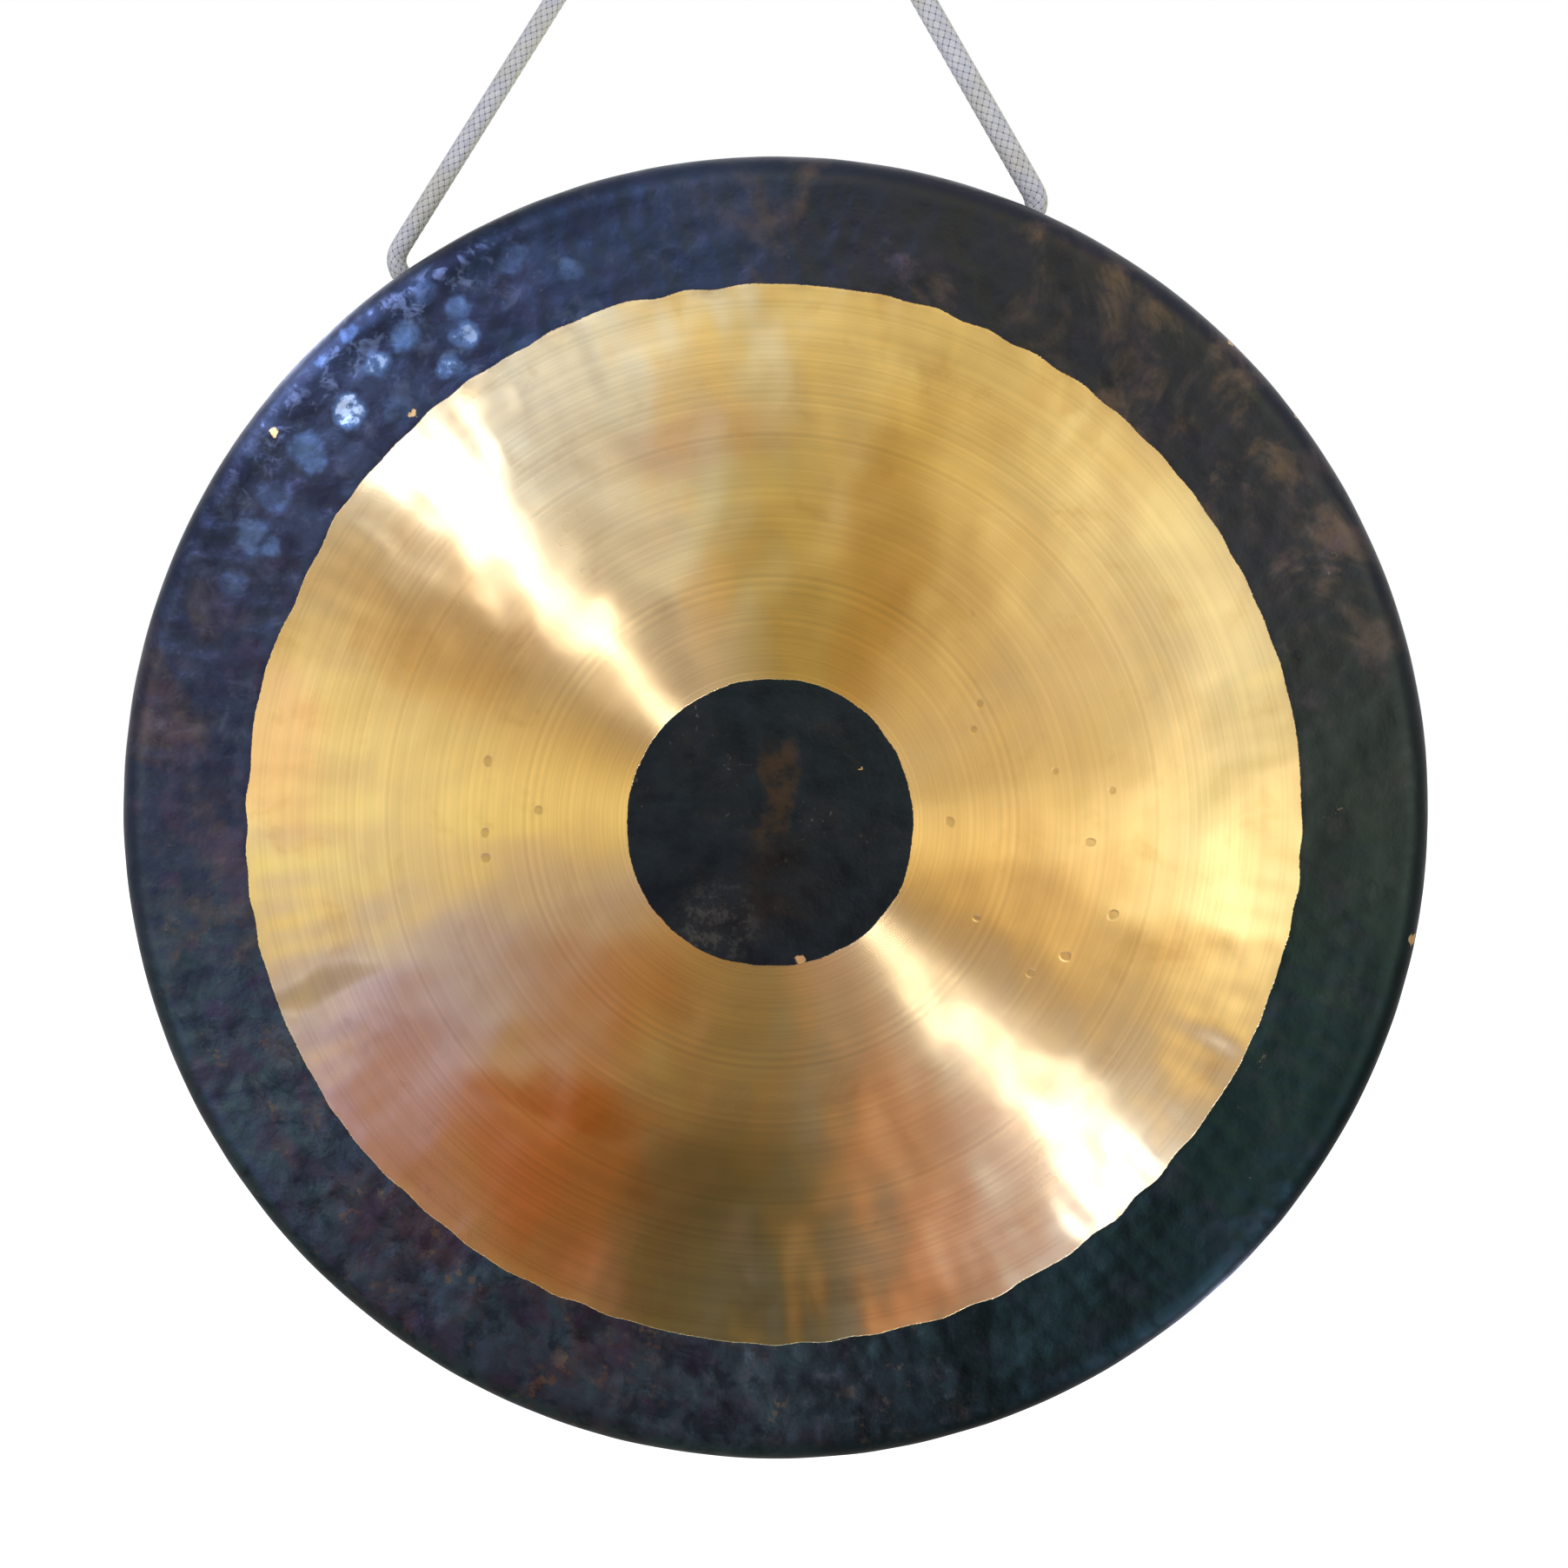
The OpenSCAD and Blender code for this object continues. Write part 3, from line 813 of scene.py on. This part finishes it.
def place_stopper(knot, deg, spin, flip):
    """put a stopper knot under its hole, as high as the rim lets it go"""
    k = knot.copy()
    k[:, 0] *= flip
    c, s = math.cos(rad(spin)), math.sin(rad(spin))
    k = np.stack([k[:, 0] * c - k[:, 1] * s, k[:, 0] * s + k[:, 1] * c, k[:, 2]], 1)
    core = k[np.hypot(k[:, 0], k[:, 1]) > 2.5]
    best = 1e9
    for q in core:
        for a in np.linspace(0, 2 * math.pi, 16, endpoint=False):
            for e in (-0.7, 0.0, 0.7, 1.3):
                o = q + 3.7 * np.array([math.cos(a) * math.cos(e), math.sin(a) * math.cos(e), math.sin(e)])
                h = -o[1]
                if h < RIM_HI:
                    lim = rim_in(h)
                else:
                    dz = min(abs(h - SH_CZ), SH_R - RIM_T - 0.5)
                    lim = SH_CX + math.sqrt((SH_R - RIM_T)**2 - dz * dz) if h > SH_CZ else SH_CX + SH_R - RIM_T
                best = min(best, math.sqrt(max(lim * lim - o[0] * o[0], 1)) - o[2])
    lift = best - 0.25
    u = out_dir(deg)
    side = np.array([u[2], 0, -u[0]])
    return np.array([0, 0, ZC]) + k[:, :1] * side + k[:, 1:2] * np.array([0, 1.0, 0]) + (k[:, 2:] + lift) * u, lift


def lay_cord():
    knot = overhand()
    left, lb = strand(L_DEG, CR, 8.0, -1)
    right, rb = strand(R_DEG, FLAT_W, 12.0, 1)
    # doubled overhand: both strands go through it side by side
    base = trefoil(6.5, 2.0)
    spin = rad(60)
    base = np.stack([base[:, 0] * math.cos(spin) - base[:, 1] * math.sin(spin),
                     base[:, 0] * math.sin(spin) + base[:, 1] * math.cos(spin), base[:, 2]], 1)
    t, n, b = transport(base)
    apart = n * math.cos(rad(60)) + b * math.sin(rad(60))
    ring = EYE_R + CR
    cen = np.array([0, 0, -EYE_R])
    foot = np.array([FOOT_X, 0, FOOT_Z])
    dist = math.hypot(foot[0], foot[2] - cen[2])
    a0 = math.atan2(foot[2] - cen[2], foot[0]) + math.acos(ring / dist)
    legdir = unit(cen + ring * np.array([math.cos(a0), 0, math.sin(a0)]) - foot)
    ropes = []
    for s, st in ((-1, left), (1, right)):
        c = base + apart * 4.2 * s + np.array([0, 0, KNOT_Z])
        bd = unit(st[-2] - st[-1])
        bot = st[-1] + bd * 10
        td = legdir * np.array([s, 1, 1])
        top = np.array([s * FOOT_X, 0, FOOT_Z]) + td * 9
        lo = bez(c[0], unit(c[0] - c[1]), bot, bd, 30)
        hi = bez(c[-1], unit(c[-1] - c[-2]), top, td, 30)
        lo2 = bot + bd * np.linspace(0, 4, 5)[1:, None]
        hi2 = top + td * np.linspace(0, 4, 5)[1:, None]
        ropes.append(resample(np.concatenate([lo2[::-1], lo[::-1][:-1], c, hi[1:], hi2]), 160))
    ropes = tighten(ropes, [3.8, 3.8], 5, 300, [195, 195], soft=0.1)
    halves = []
    for s, st, rope, deg, spin, flip in ((-1, left, ropes[0], -L_DEG, 20, 1), (1, right, ropes[1], R_DEG, 200, -1)):
        kn, lift = place_stopper(knot, deg, spin, flip)
        u = out_dir(deg)
        # trim the knot's leads: tail 24 mm beyond the knot, lead into the hole
        d_out = (kn - [0, 0, ZC]) @ u
        top_i = int(np.argmin(np.abs(d_out[60:] - 246.0))) + 60 if d_out.max() > 246 else len(kn)
        kn = kn[:top_i]
        low = lift - 45
        tail_from = max(low, lift - 13 - 27)
        keep = np.nonzero(d_out[:top_i] > tail_from)[0][0]
        kn = kn[keep:]
        arc0 = (st[0] - [0, 0, ZC]) @ u
        d_last = (kn[-1] - [0, 0, ZC]) @ u
        neck = np.array([0, 0, ZC]) + u * np.linspace(d_last, arc0, 16)[1:-1, None]
        leg = []
        for a in np.linspace(a0, math.pi / 2, 40):
            leg.append(cen + ring * np.array([math.cos(a), 0, math.sin(a)]))
        leg = np.array(leg) * np.array([s, 1, 1])
        # the knot's own leads replace the ends of the strand and of the leg
        st = st[np.concatenate([np.linalg.norm(np.diff(st, axis=0), axis=1)[::-1].cumsum()[::-1] > 14, [False]])]
        leg = np.concatenate([[foot * [s, 1, 1]], leg])
        leg = resample(leg, step=1.0)
        leg = leg[np.r_[0, np.cumsum(np.linalg.norm(np.diff(leg, axis=0), axis=1))] > 13]
        halves.append((kn, neck, st, rope, leg))
    parts, names = [], []
    for h, tag in zip(halves, "LR"):
        seq = list(zip(h, ("stop", "neck", "strand", "knot", "leg")))
        if tag == "R":
            seq = [(c[::-1], nm) for c, nm in seq[::-1]]
        for c, nm in seq:
            parts.append(c)
            names.append([tag + nm] * len(c))
    path = np.concatenate(parts)
    lab = np.concatenate(names)
    # drop doubled points and steps backwards at the joins
    keep = [0]
    for i in range(1, len(path)):
        if np.linalg.norm(path[i] - path[keep[-1]]) > 0.35:
            keep.append(i)
    path, lab = path[keep], lab[keep]
    d = np.r_[0, np.cumsum(np.linalg.norm(np.diff(path, axis=0), axis=1))]
    step = 0.5
    s = np.arange(0, d[-1], step)
    fine = np.stack([np.interp(s, d, path[:, k]) for k in range(3)], 1)
    which = lab[np.clip(np.searchsorted(d, s), 0, len(lab) - 1)]
    k = np.exp(-0.5 * (np.arange(-10, 11) * step / 1.7)**2)
    k /= k.sum()
    pad = np.concatenate([fine[0] + (fine[0] - fine[1]) * np.arange(10, 0, -1)[:, None], fine,
                          fine[-1] + (fine[-1] - fine[-2]) * np.arange(1, 11)[:, None]])
    fine = np.stack([np.convolve(pad[:, c], k, "valid") for c in range(3)], 1)
    return fine, s, which


CARRIERS, LAY = 8, 3.7


def braid(phi, s):
    """height of the braid's surface below its crests, 0 to 1, where each carrier goes over one and under one"""
    a = CARRIERS * phi / (2 * math.pi) + s / LAY
    b = CARRIERS * phi / (2 * math.pi) - s / LAY
    fa, fb = a - np.floor(a) - 0.5, b - np.floor(b) - 0.5
    over = (np.floor(a) + np.floor(b)) % 2 == 0
    across, along = np.where(over, fa, fb), np.where(over, fb, fa)
    return np.sqrt(np.clip(1 - (1.86 * across)**2, 0, 1)) * (0.62 + 0.38 * np.cos(math.pi * along * 0.95))


SIDES = 56


def rope_mesh(name, line, arc, frame3, half_w, half_t, spans, relief=0.42):
    """closed lengths of braided tube between the given ring numbers"""
    _, n, b = frame3
    verts, faces, weave, sharp = [], [], [], []
    phi = 2 * math.pi * np.arange(SIDES) / SIDES
    base = 0
    for i0, i1 in spans:
        rows = np.arange(i0, i1 + 1)
        P, S = np.meshgrid(phi, arc[rows])
        h = braid(P, S)
        o = np.cos(P)[..., None] * n[rows][:, None] + np.sin(P)[..., None] * b[rows][:, None]
        wide = half_w[rows][:, None, None]
        thick = half_t[rows][:, None, None]
        sc = np.concatenate([wide + 0 * o[..., :1], thick + 0 * o[..., :1], wide + 0 * o[..., :1]], 2)
        o = o * (sc - relief * (1 - h)[..., None])
        v = line[rows][:, None] + o
        nr = len(rows)
        verts.append(v.reshape(-1, 3))
        weave.append(np.stack([np.cos(P), np.sin(P), S * MM], 2).reshape(-1, 3))
        j = np.arange(SIDES)
        e = (j + 1) % SIDES
        for r in range(nr - 1):
            q = base + r * SIDES
            faces += list(map(tuple, np.stack([q + j, q + SIDES + j, q + SIDES + e, q + e], 1)))
        # rounded cut ends
        tdir = frame3[0]
        for end, sgn in ((0, -1), (nr - 1, 1)):
            cap = base + nr * SIDES + (0 if end == 0 else SIDES + 1)
            ring = v[end]
            mid = ring.mean(0)
            inner = mid + (ring - mid) * 0.55 + tdir[rows[end]] * sgn * 0.25
            verts.append(np.concatenate([inner, [mid + tdir[rows[end]] * sgn * 0.3]]))
            weave.append(np.concatenate([np.stack([np.cos(phi), np.sin(phi), np.full(SIDES, arc[rows[end]] * MM)], 1),
                                         [[0, 0, arc[rows[end]] * MM]]]))
            q = base + end * SIDES
            for jj in range(SIDES):
                ee = (jj + 1) % SIDES
                if sgn > 0:
                    faces += [(q + jj, cap + jj, cap + ee, q + ee), (cap + jj, cap + SIDES, cap + ee)]
                else:
                    faces += [(q + jj, q + ee, cap + ee, cap + jj), (cap + jj, cap + ee, cap + SIDES)]
                sharp.append((q + jj, q + ee))
        base += nr * SIDES + 2 * (SIDES + 1)
    ob = mesh_from(name, np.concatenate(verts), faces)
    at = ob.data.attributes.new("weave", "FLOAT_VECTOR", "POINT")
    at.data.foreach_set("vector", np.concatenate(weave).astype(np.float32).ravel())
    want = {tuple(sorted(x)) for x in sharp}
    ev = np.zeros(len(ob.data.edges) * 2, dtype=int)
    ob.data.edges.foreach_get("vertices", ev)
    ev = np.sort(ev.reshape(-1, 2), axis=1)
    flags = [tuple(x) in want for x in ev.tolist()]
    ob.data.edges.foreach_set("use_edge_sharp", flags)
    return ob


def cotton_material():
    m, t, bs = material("braided_cotton")
    at = t.new("ShaderNodeAttribute", attribute_name="weave")
    cx, cy, s = t.split(at.outputs["Vector"])
    turn = t.mul(t.m("ARCTAN2", cy, cx), CARRIERS / (2 * math.pi))
    run = t.mul(s, 1.0 / (LAY * MM))
    a, b = t.add(t.add(turn, run), 64.0), t.add(t.sub(turn, run), 1024.0)
    fa, fb = t.sub(t.m("FRACT", a), 0.5), t.sub(t.m("FRACT", b), 0.5)
    par = t.m("MODULO", t.add(t.m("FLOOR", a), t.m("FLOOR", b)), 2.0)
    over = t.m("LESS_THAN", par, 0.5)
    under = t.sub(1.0, over)
    across = t.add(t.mul(fa, over), t.mul(fb, under))
    along = t.add(t.mul(fb, over), t.mul(fa, under))
    ax, al = t.m("ABSOLUTE", across), t.m("ABSOLUTE", along)
    co = t.new("ShaderNodeTexCoord").outputs["Object"]
    cell = t.new("ShaderNodeTexWhiteNoise", noise_dimensions="2D")
    t.put(cell.inputs["Vector"], t.xyz(t.m("FLOOR", a), t.m("FLOOR", b), 0.0))
    vary = cell.outputs["Value"]
    # plies inside a carrier, slightly slanted, and stray fibres
    ply = t.m("SINE", t.add(t.mul(across, 21.0), t.add(t.mul(along, 2.4), t.mul(vary, 6.0))))
    fib = t.noise(co, 2600.0, 3.0, 0.7)
    fluff = t.noise(co, 700.0, 3.0, 0.6)
    groove = t.step(0.40, 0.50, t.add(ax, t.mul(t.sub(fluff, 0.5), 0.10)))
    dip = t.step(0.38, 0.52, t.add(al, t.mul(t.sub(fluff, 0.5), 0.10)))
    groove_relief_and_shade = t.m("MAXIMUM", t.mul(groove, 0.9), t.mul(dip, 0.6))
    pit_relief_and_shade = t.mul(t.step(0.33, 0.47, ax), t.step(0.33, 0.47, al))
    soil = t.noise(co, 38.0, 4.0, 0.6)
    col = t.mix(vary, (0.440, 0.445, 0.500), (0.560, 0.550, 0.570))
    col = t.mix(t.mul(t.step(0.42, 0.66, soil), 0.60), col, (0.470, 0.440, 0.330))
    # painted light and shade: sides facing right painted warm yellow, sides facing left painted darker
    painted_side_light_and_shade = t.split(t.new("ShaderNodeNewGeometry").outputs["Normal"])[0]
    col = t.mix(t.step(0.35, 0.95, painted_side_light_and_shade, 0.0, 0.65), col, (0.560, 0.540, 0.330))
    col = t.mix(t.step(-0.45, -0.95, painted_side_light_and_shade, 0.0, 0.45), col, (0.300, 0.285, 0.290))
    col = t.mix(t.mul(t.add(t.mul(ply, 0.5), 0.5), 0.18), col, (0.38, 0.39, 0.45))
    # painted shade in the grooves and the pits between the yarns
    col = t.mix(t.mul(groove_relief_and_shade, 0.58), col, (0.215, 0.205, 0.225))
    col = t.mix(t.mul(pit_relief_and_shade, 0.85), col, (0.060, 0.055, 0.060))
    col = t.mix(t.mul(t.step(0.62, 0.74, fib), 0.35), col, (0.72, 0.71, 0.72))
    t.put(bs.inputs["Base Color"], col)
    bs.inputs["Roughness"].default_value = 0.88
    bs.inputs["Specular IOR Level"].default_value = 0.22
    bs.inputs["Sheen Weight"].default_value = 0.25
    bs.inputs["Sheen Roughness"].default_value = 0.5
    hgt = t.add(t.mul(ply, 0.000045), t.mul(fib, 0.00016))
    hgt = t.sub(hgt, t.add(t.mul(groove_relief_and_shade, 0.00018), t.mul(pit_relief_and_shade, 0.00035)))
    t.put(bs.inputs["Normal"], t.bump(hgt))
    return m


def build_cord():
    line, arc, which = lay_cord()
    fr = transport(line)
    n = len(line)
    w, th = np.full(n, CR), np.full(n, CR)
    knotted = np.isin(which, ("Lknot", "Rknot")).astype(float)
    stopped = np.isin(which, ("Lstop", "Rstop")).astype(float)
    g = np.exp(-0.5 * (np.arange(-24, 25) * 0.5 / 4.5)**2)
    g /= g.sum()
    knotted, stopped = (np.convolve(np.pad(v, 24, "edge"), g, "valid") for v in (knotted, stopped))
    slack = (which == "Rstrand").astype(float)
    slack = np.convolve(np.pad(slack, 24, "edge"), g, "valid")
    neck = np.isin(which, ("Lneck", "Rneck"))
    w = CR - 0.06 * knotted - 0.22 * stopped + (FLAT_W - CR) * smooth(0.15, 0.9, slack)
    th = CR - 0.06 * knotted - 0.22 * stopped + (FLAT_T - CR) * smooth(0.15, 0.9, slack)
    idx = {k: np.nonzero(which == k)[0] for k in np.unique(which)}
    mat = cotton_material()

    def cut(z, lo, hi):
        """ring number in lo..hi whose height is nearest z"""
        r = np.arange(lo, hi + 1)
        return int(r[np.argmin(np.abs(line[r, 2] - z))])

    ls, rs = idx["Lstrand"], idx["Rstrand"]
    l_in, r_in = idx["Lstop"][-1], idx["Rstop"][0]
    l_top, r_top = ls[-1], rs[0]
    l_foot = cut(FOOT_Z + 1.0, idx["Lknot"][-1] - 20, idx["Lleg"][0] + 10)
    r_foot = cut(FOOT_Z + 1.0, idx["Rleg"][-1] - 10, idx["Rknot"][0] + 20)
    l_mid, r_mid = int(ls[len(ls) * 55 // 100]), int(rs[len(rs) * 45 // 100])
    # left piece of the hole: the knot's lead ends inside the rim
    def at_radius(rings, deg, d):
        u = out_dir(deg)
        return int(rings[np.argmin(np.abs((line[rings] - [0, 0, ZC]) @ u - d))])

    l_hole = at_radius(np.arange(idx["Lstop"][-1] - 4, idx["Lneck"][-1]), -L_DEG, 248.5)
    r_hole = at_radius(np.arange(idx["Rneck"][0], idx["Rstop"][0] + 5), R_DEG, 248.5)
    pieces = []

    def piece(name, spans, node):
        ob = rope_mesh(name, line, arc, fr, w, th, spans)
        ob.data.materials.append(mat)
        if node:
            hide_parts(*node)
        pieces.append(ob)
        return ob

    hook = piece("cord_hanging_eye", [(l_foot, r_foot)], ["hanging_eye"])
    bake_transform(hook)
    kn = piece("cord_eye_knot", [(l_top, l_foot), (r_foot, r_top)], ["eye_knot"])
    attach(kn, "knot")
    for tag, a, b, node in (("left", l_mid, l_top, "left_strand"), ("right", r_top, r_mid, "right_strand")):
        up = piece("cord_%s_upper" % tag, [(a, b)], [node])
        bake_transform(up)
    for tag, a, b, deg, st in (("left", l_hole, l_mid, -L_DEG, ls), ("right", r_mid, r_hole, R_DEG, rs[::-1])):
        lo = piece("cord_%s_lower" % tag, [(a, b)], None)
        u = out_dir(deg)
        up = unit(line[st[60]] - line[st[20]])
        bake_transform(lo)
    for tag, a, b, nodes in (("left", 0, l_hole, ["left_stopper_knot", "left_cord_tail"]),
                             ("right", r_hole, n - 1, ["right_stopper_knot", "right_cord_tail"])):
        ob = piece("cord_%s_stopper" % tag, [(a, b)], nodes)
        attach(ob, "gong")
    return pieces


build_cord()


# ------------------------------------------------------------------ studio
def studio():
    sc = bpy.context.scene
    w = bpy.data.worlds.new("studio")
    sc.world = w
    w.use_nodes = True
    w.node_tree.nodes.clear()
    # an even soft box for cloth and other matt things: a dome only diffuse rays see
    bpy.ops.mesh.primitive_uv_sphere_add(segments=48, ring_count=24, radius=30.0)
    dome_ob = bpy.context.object
    dome_ob.name = "soft_box"
    m = bpy.data.materials.new("soft_box")
    m.use_nodes = True
    m.node_tree.nodes.clear()
    m.cycles.emission_sampling = "NONE"
    t = Tree(m.node_tree)
    out = t.new("ShaderNodeOutputMaterial")
    em = t.new("ShaderNodeEmission")
    em.inputs[0].default_value = (0.80, 0.82, 0.86, 1)
    em.inputs[1].default_value = 1.05
    t.l.new(em.outputs[0], out.inputs[0])
    dome_ob.data.materials.clear()
    dome_ob.data.materials.append(m)
    dome_ob.visible_camera = False
    dome_ob.visible_glossy = False
    dome_ob.visible_transmission = False
    dome_ob.visible_volume_scatter = False
    dome_ob.visible_shadow = False

    # the room the metal mirrors, and plain white behind the subject
    t = Tree(w.node_tree)
    out = t.new("ShaderNodeOutputWorld")
    d = t.vm("NORMALIZE", t.new("ShaderNodeTexCoord").outputs["Generated"])
    dx, dy, dz = t.split(d)
    az = t.m("FRACT", t.add(t.div(t.m("ARCTAN2", dz, dx), 2 * math.pi), 1.0))
    lobe = [(0, (1.49, 1.51, 1.14)), (15, (1.81, 1.72, 1.38)), (30, (2.16, 2.17, 1.48)), (45, (1.66, 1.38, 0.82)),
            (60, (1.55, 1.38, 0.63)), (75, (1.53, 1.33, 0.75)), (90, (1.46, 1.25, 0.57)), (105, (1.58, 1.57, 1.42)),
            (120, (2.01, 2.50, 3.64)), (138, (0.48, 0.48, 0.52)), (150, (0.26, 0.31, 0.24)),
            (165, (1.23, 0.94, 0.72)), (180, (1.76, 1.92, 1.26)), (193, (1.31, 1.02, 0.41)),
            (210, (0.48, 0.67, 2.00)), (225, (0.45, 0.12, 0.13)), (240, (0.30, 0.07, 0.04)),
            (255, (0.03, 0.03, 0.12)), (272, (0.01, 0.01, 0.01)), (285, (0.94, 0.28, 0.02)),
            (300, (0.71, 0.85, 1.55)), (316, (0.50, 0.44, 0.50)), (330, (1.68, 1.10, 0.17)),
            (345, (3.86, 3.95, 3.53)), (360, (1.49, 1.51, 1.14))]
    col = t.ramp(az, [(a / 360, tuple(v / 4 for v in c)) for a, c in lobe], "B_SPLINE")
    side = t.m("SQRT", t.add(t.mul(dx, dx), t.mul(dz, dz)))
    body = t.step(0.05, 0.60, side, 0.24, 1.1)
    col = t.mix(1.0, col, t.new_grey(t.mul(body, 4.0)), "MULTIPLY")
    # well off to the sides and behind, the room is plain and calm
    calm = t.mix(t.step(-0.8, 0.8, dz), (0.26, 0.24, 0.22), (0.92, 0.94, 0.97))
    far = t.m("MAXIMUM", t.step(0.64, 0.94, side), t.step(-0.30, 0.10, dy))
    col = t.mix(far, col, calm)

    def beam(deg, half, soft, gain, lo, hi):
        cs = t.div(t.add(t.mul(dx, math.cos(rad(deg))), t.mul(dz, math.sin(rad(deg)))), t.m("MAXIMUM", side, 0.001))
        f = t.step(math.cos(rad(half + soft)), math.cos(rad(half)), cs)
        r = t.mul(t.step(lo, lo + 0.12, side), t.step(hi, hi - 0.12, side))
        return t.mul(t.mul(f, r), gain)

    beams = t.add(beam(139.0, 1.4, 1.8, 29.0, 0.42, 1.2), beam(-53.0, 0.7, 1.5, 19.0, 0.42, 1.2))
    strip = t.new("ShaderNodeVectorMath", operation="SCALE")
    strip.inputs[0].default_value = (0.86, 0.97, 1.42)
    t.put(strip.inputs["Scale"], t.mul(beams, t.step(0.05, -0.25, dy, 0.22, 1.0)))
    total = t.vm("ADD", col, strip.outputs[0])
    room = t.new("ShaderNodeBackground")
    t.put(room.inputs[0], total)
    white = t.new("ShaderNodeBackground")
    white.inputs[0].default_value = (1, 1, 1, 1)
    cam = t.new("ShaderNodeLightPath").outputs["Is Camera Ray"]
    mx = t.new("ShaderNodeMixShader")
    t.put(mx.inputs[0], cam)
    t.l.new(room.outputs[0], mx.inputs[1])
    t.l.new(white.outputs[0], mx.inputs[2])
    t.l.new(mx.outputs[0], out.inputs[0])
    w.cycles_visibility.diffuse = False
    w.cycles_visibility.transmission = False
    w.cycles_visibility.scatter = False
    w.cycles.sampling_method = "MANUAL"
    w.cycles.sample_map_resolution = 1024

    # pale floor, well under the gong
    zf = (ZC - R_OUT - 420) * MM
    me = bpy.data.meshes.new("floor")
    s = 14.0
    me.from_pydata([(-s, -s, zf), (s, -s, zf), (s, s, zf), (-s, s, zf)], [], [(0, 1, 2, 3)])
    fl = bpy.data.objects.new("floor", me)
    sc.collection.objects.link(fl)
    m, t, bs = material("pale_floor")
    bs.inputs["Base Color"].default_value = (0.86, 0.86, 0.86, 1)
    bs.inputs["Roughness"].default_value = 0.8
    bs.inputs["Emission Color"].default_value = (1, 1, 1, 1)
    bs.inputs["Emission Strength"].default_value = 0.5
    me.materials.append(m)
    fl.visible_glossy = False
    fl.visible_shadow = False

    def soft(name, loc, size, power, target):
        ld = bpy.data.lights.new(name, "AREA")
        ld.shape = "RECTANGLE"
        ld.size, ld.size_y = size
        ld.energy = power
        ob = bpy.data.objects.new(name, ld)
        sc.collection.objects.link(ob)
        v = np.array(target, float) - np.array(loc, float)
        v /= np.linalg.norm(v)
        from mathutils import Vector
        ob.location = loc
        ob.rotation_euler = Vector(v).to_track_quat("-Z", "Y").to_euler()
        ob.visible_glossy = False
        return ob

    soft("key_soft", (-1.0, -1.6, 0.9), (1.0, 1.0), 5.0, (0, 0, ZC * MM + 0.1))
    soft("fill_soft", (1.4, -1.2, 0.2), (1.0, 1.0), 1.5, (0, 0, ZC * MM + 0.1))


def camera():
    sc = bpy.context.scene
    az, el, dist, roll, f_px = rad(1.53), rad(4.15), 924.0, rad(-1.26), 2765.0
    ox, oy = -15.2, 44.0
    T = np.array([0, -FRONT - 1.0, ZC])
    loc = T + dist * np.array([math.sin(az) * math.cos(el), -math.cos(az) * math.cos(el), math.sin(el)])
    fwd = (T - loc) / np.linalg.norm(T - loc)
    right = np.cross(fwd, [0, 0, 1.0])
    right /= np.linalg.norm(right)
    up = np.cross(right, fwd)
    r2 = right * math.cos(roll) + up * math.sin(roll)
    u2 = up * math.cos(roll) - right * math.sin(roll)
    from mathutils import Matrix
    M = Matrix.Identity(4)
    for i in range(3):
        M[i][0], M[i][1], M[i][2], M[i][3] = r2[i], u2[i], -fwd[i], loc[i] * MM
    cd = bpy.data.cameras.new("camera")
    cd.sensor_width = 36.0
    cd.sensor_fit = "HORIZONTAL"
    cd.lens = 36.0 * f_px / 1804.0
    cd.shift_x = -ox / 1804.0
    cd.shift_y = oy / 1804.0
    cd.clip_start = 0.01
    cam = bpy.data.objects.new("camera", cd)
    cam.matrix_world = M
    sc.collection.objects.link(cam)
    sc.camera = cam
    sc.view_settings.view_transform = "Standard"
    sc.view_settings.look = "None"


studio()
camera()
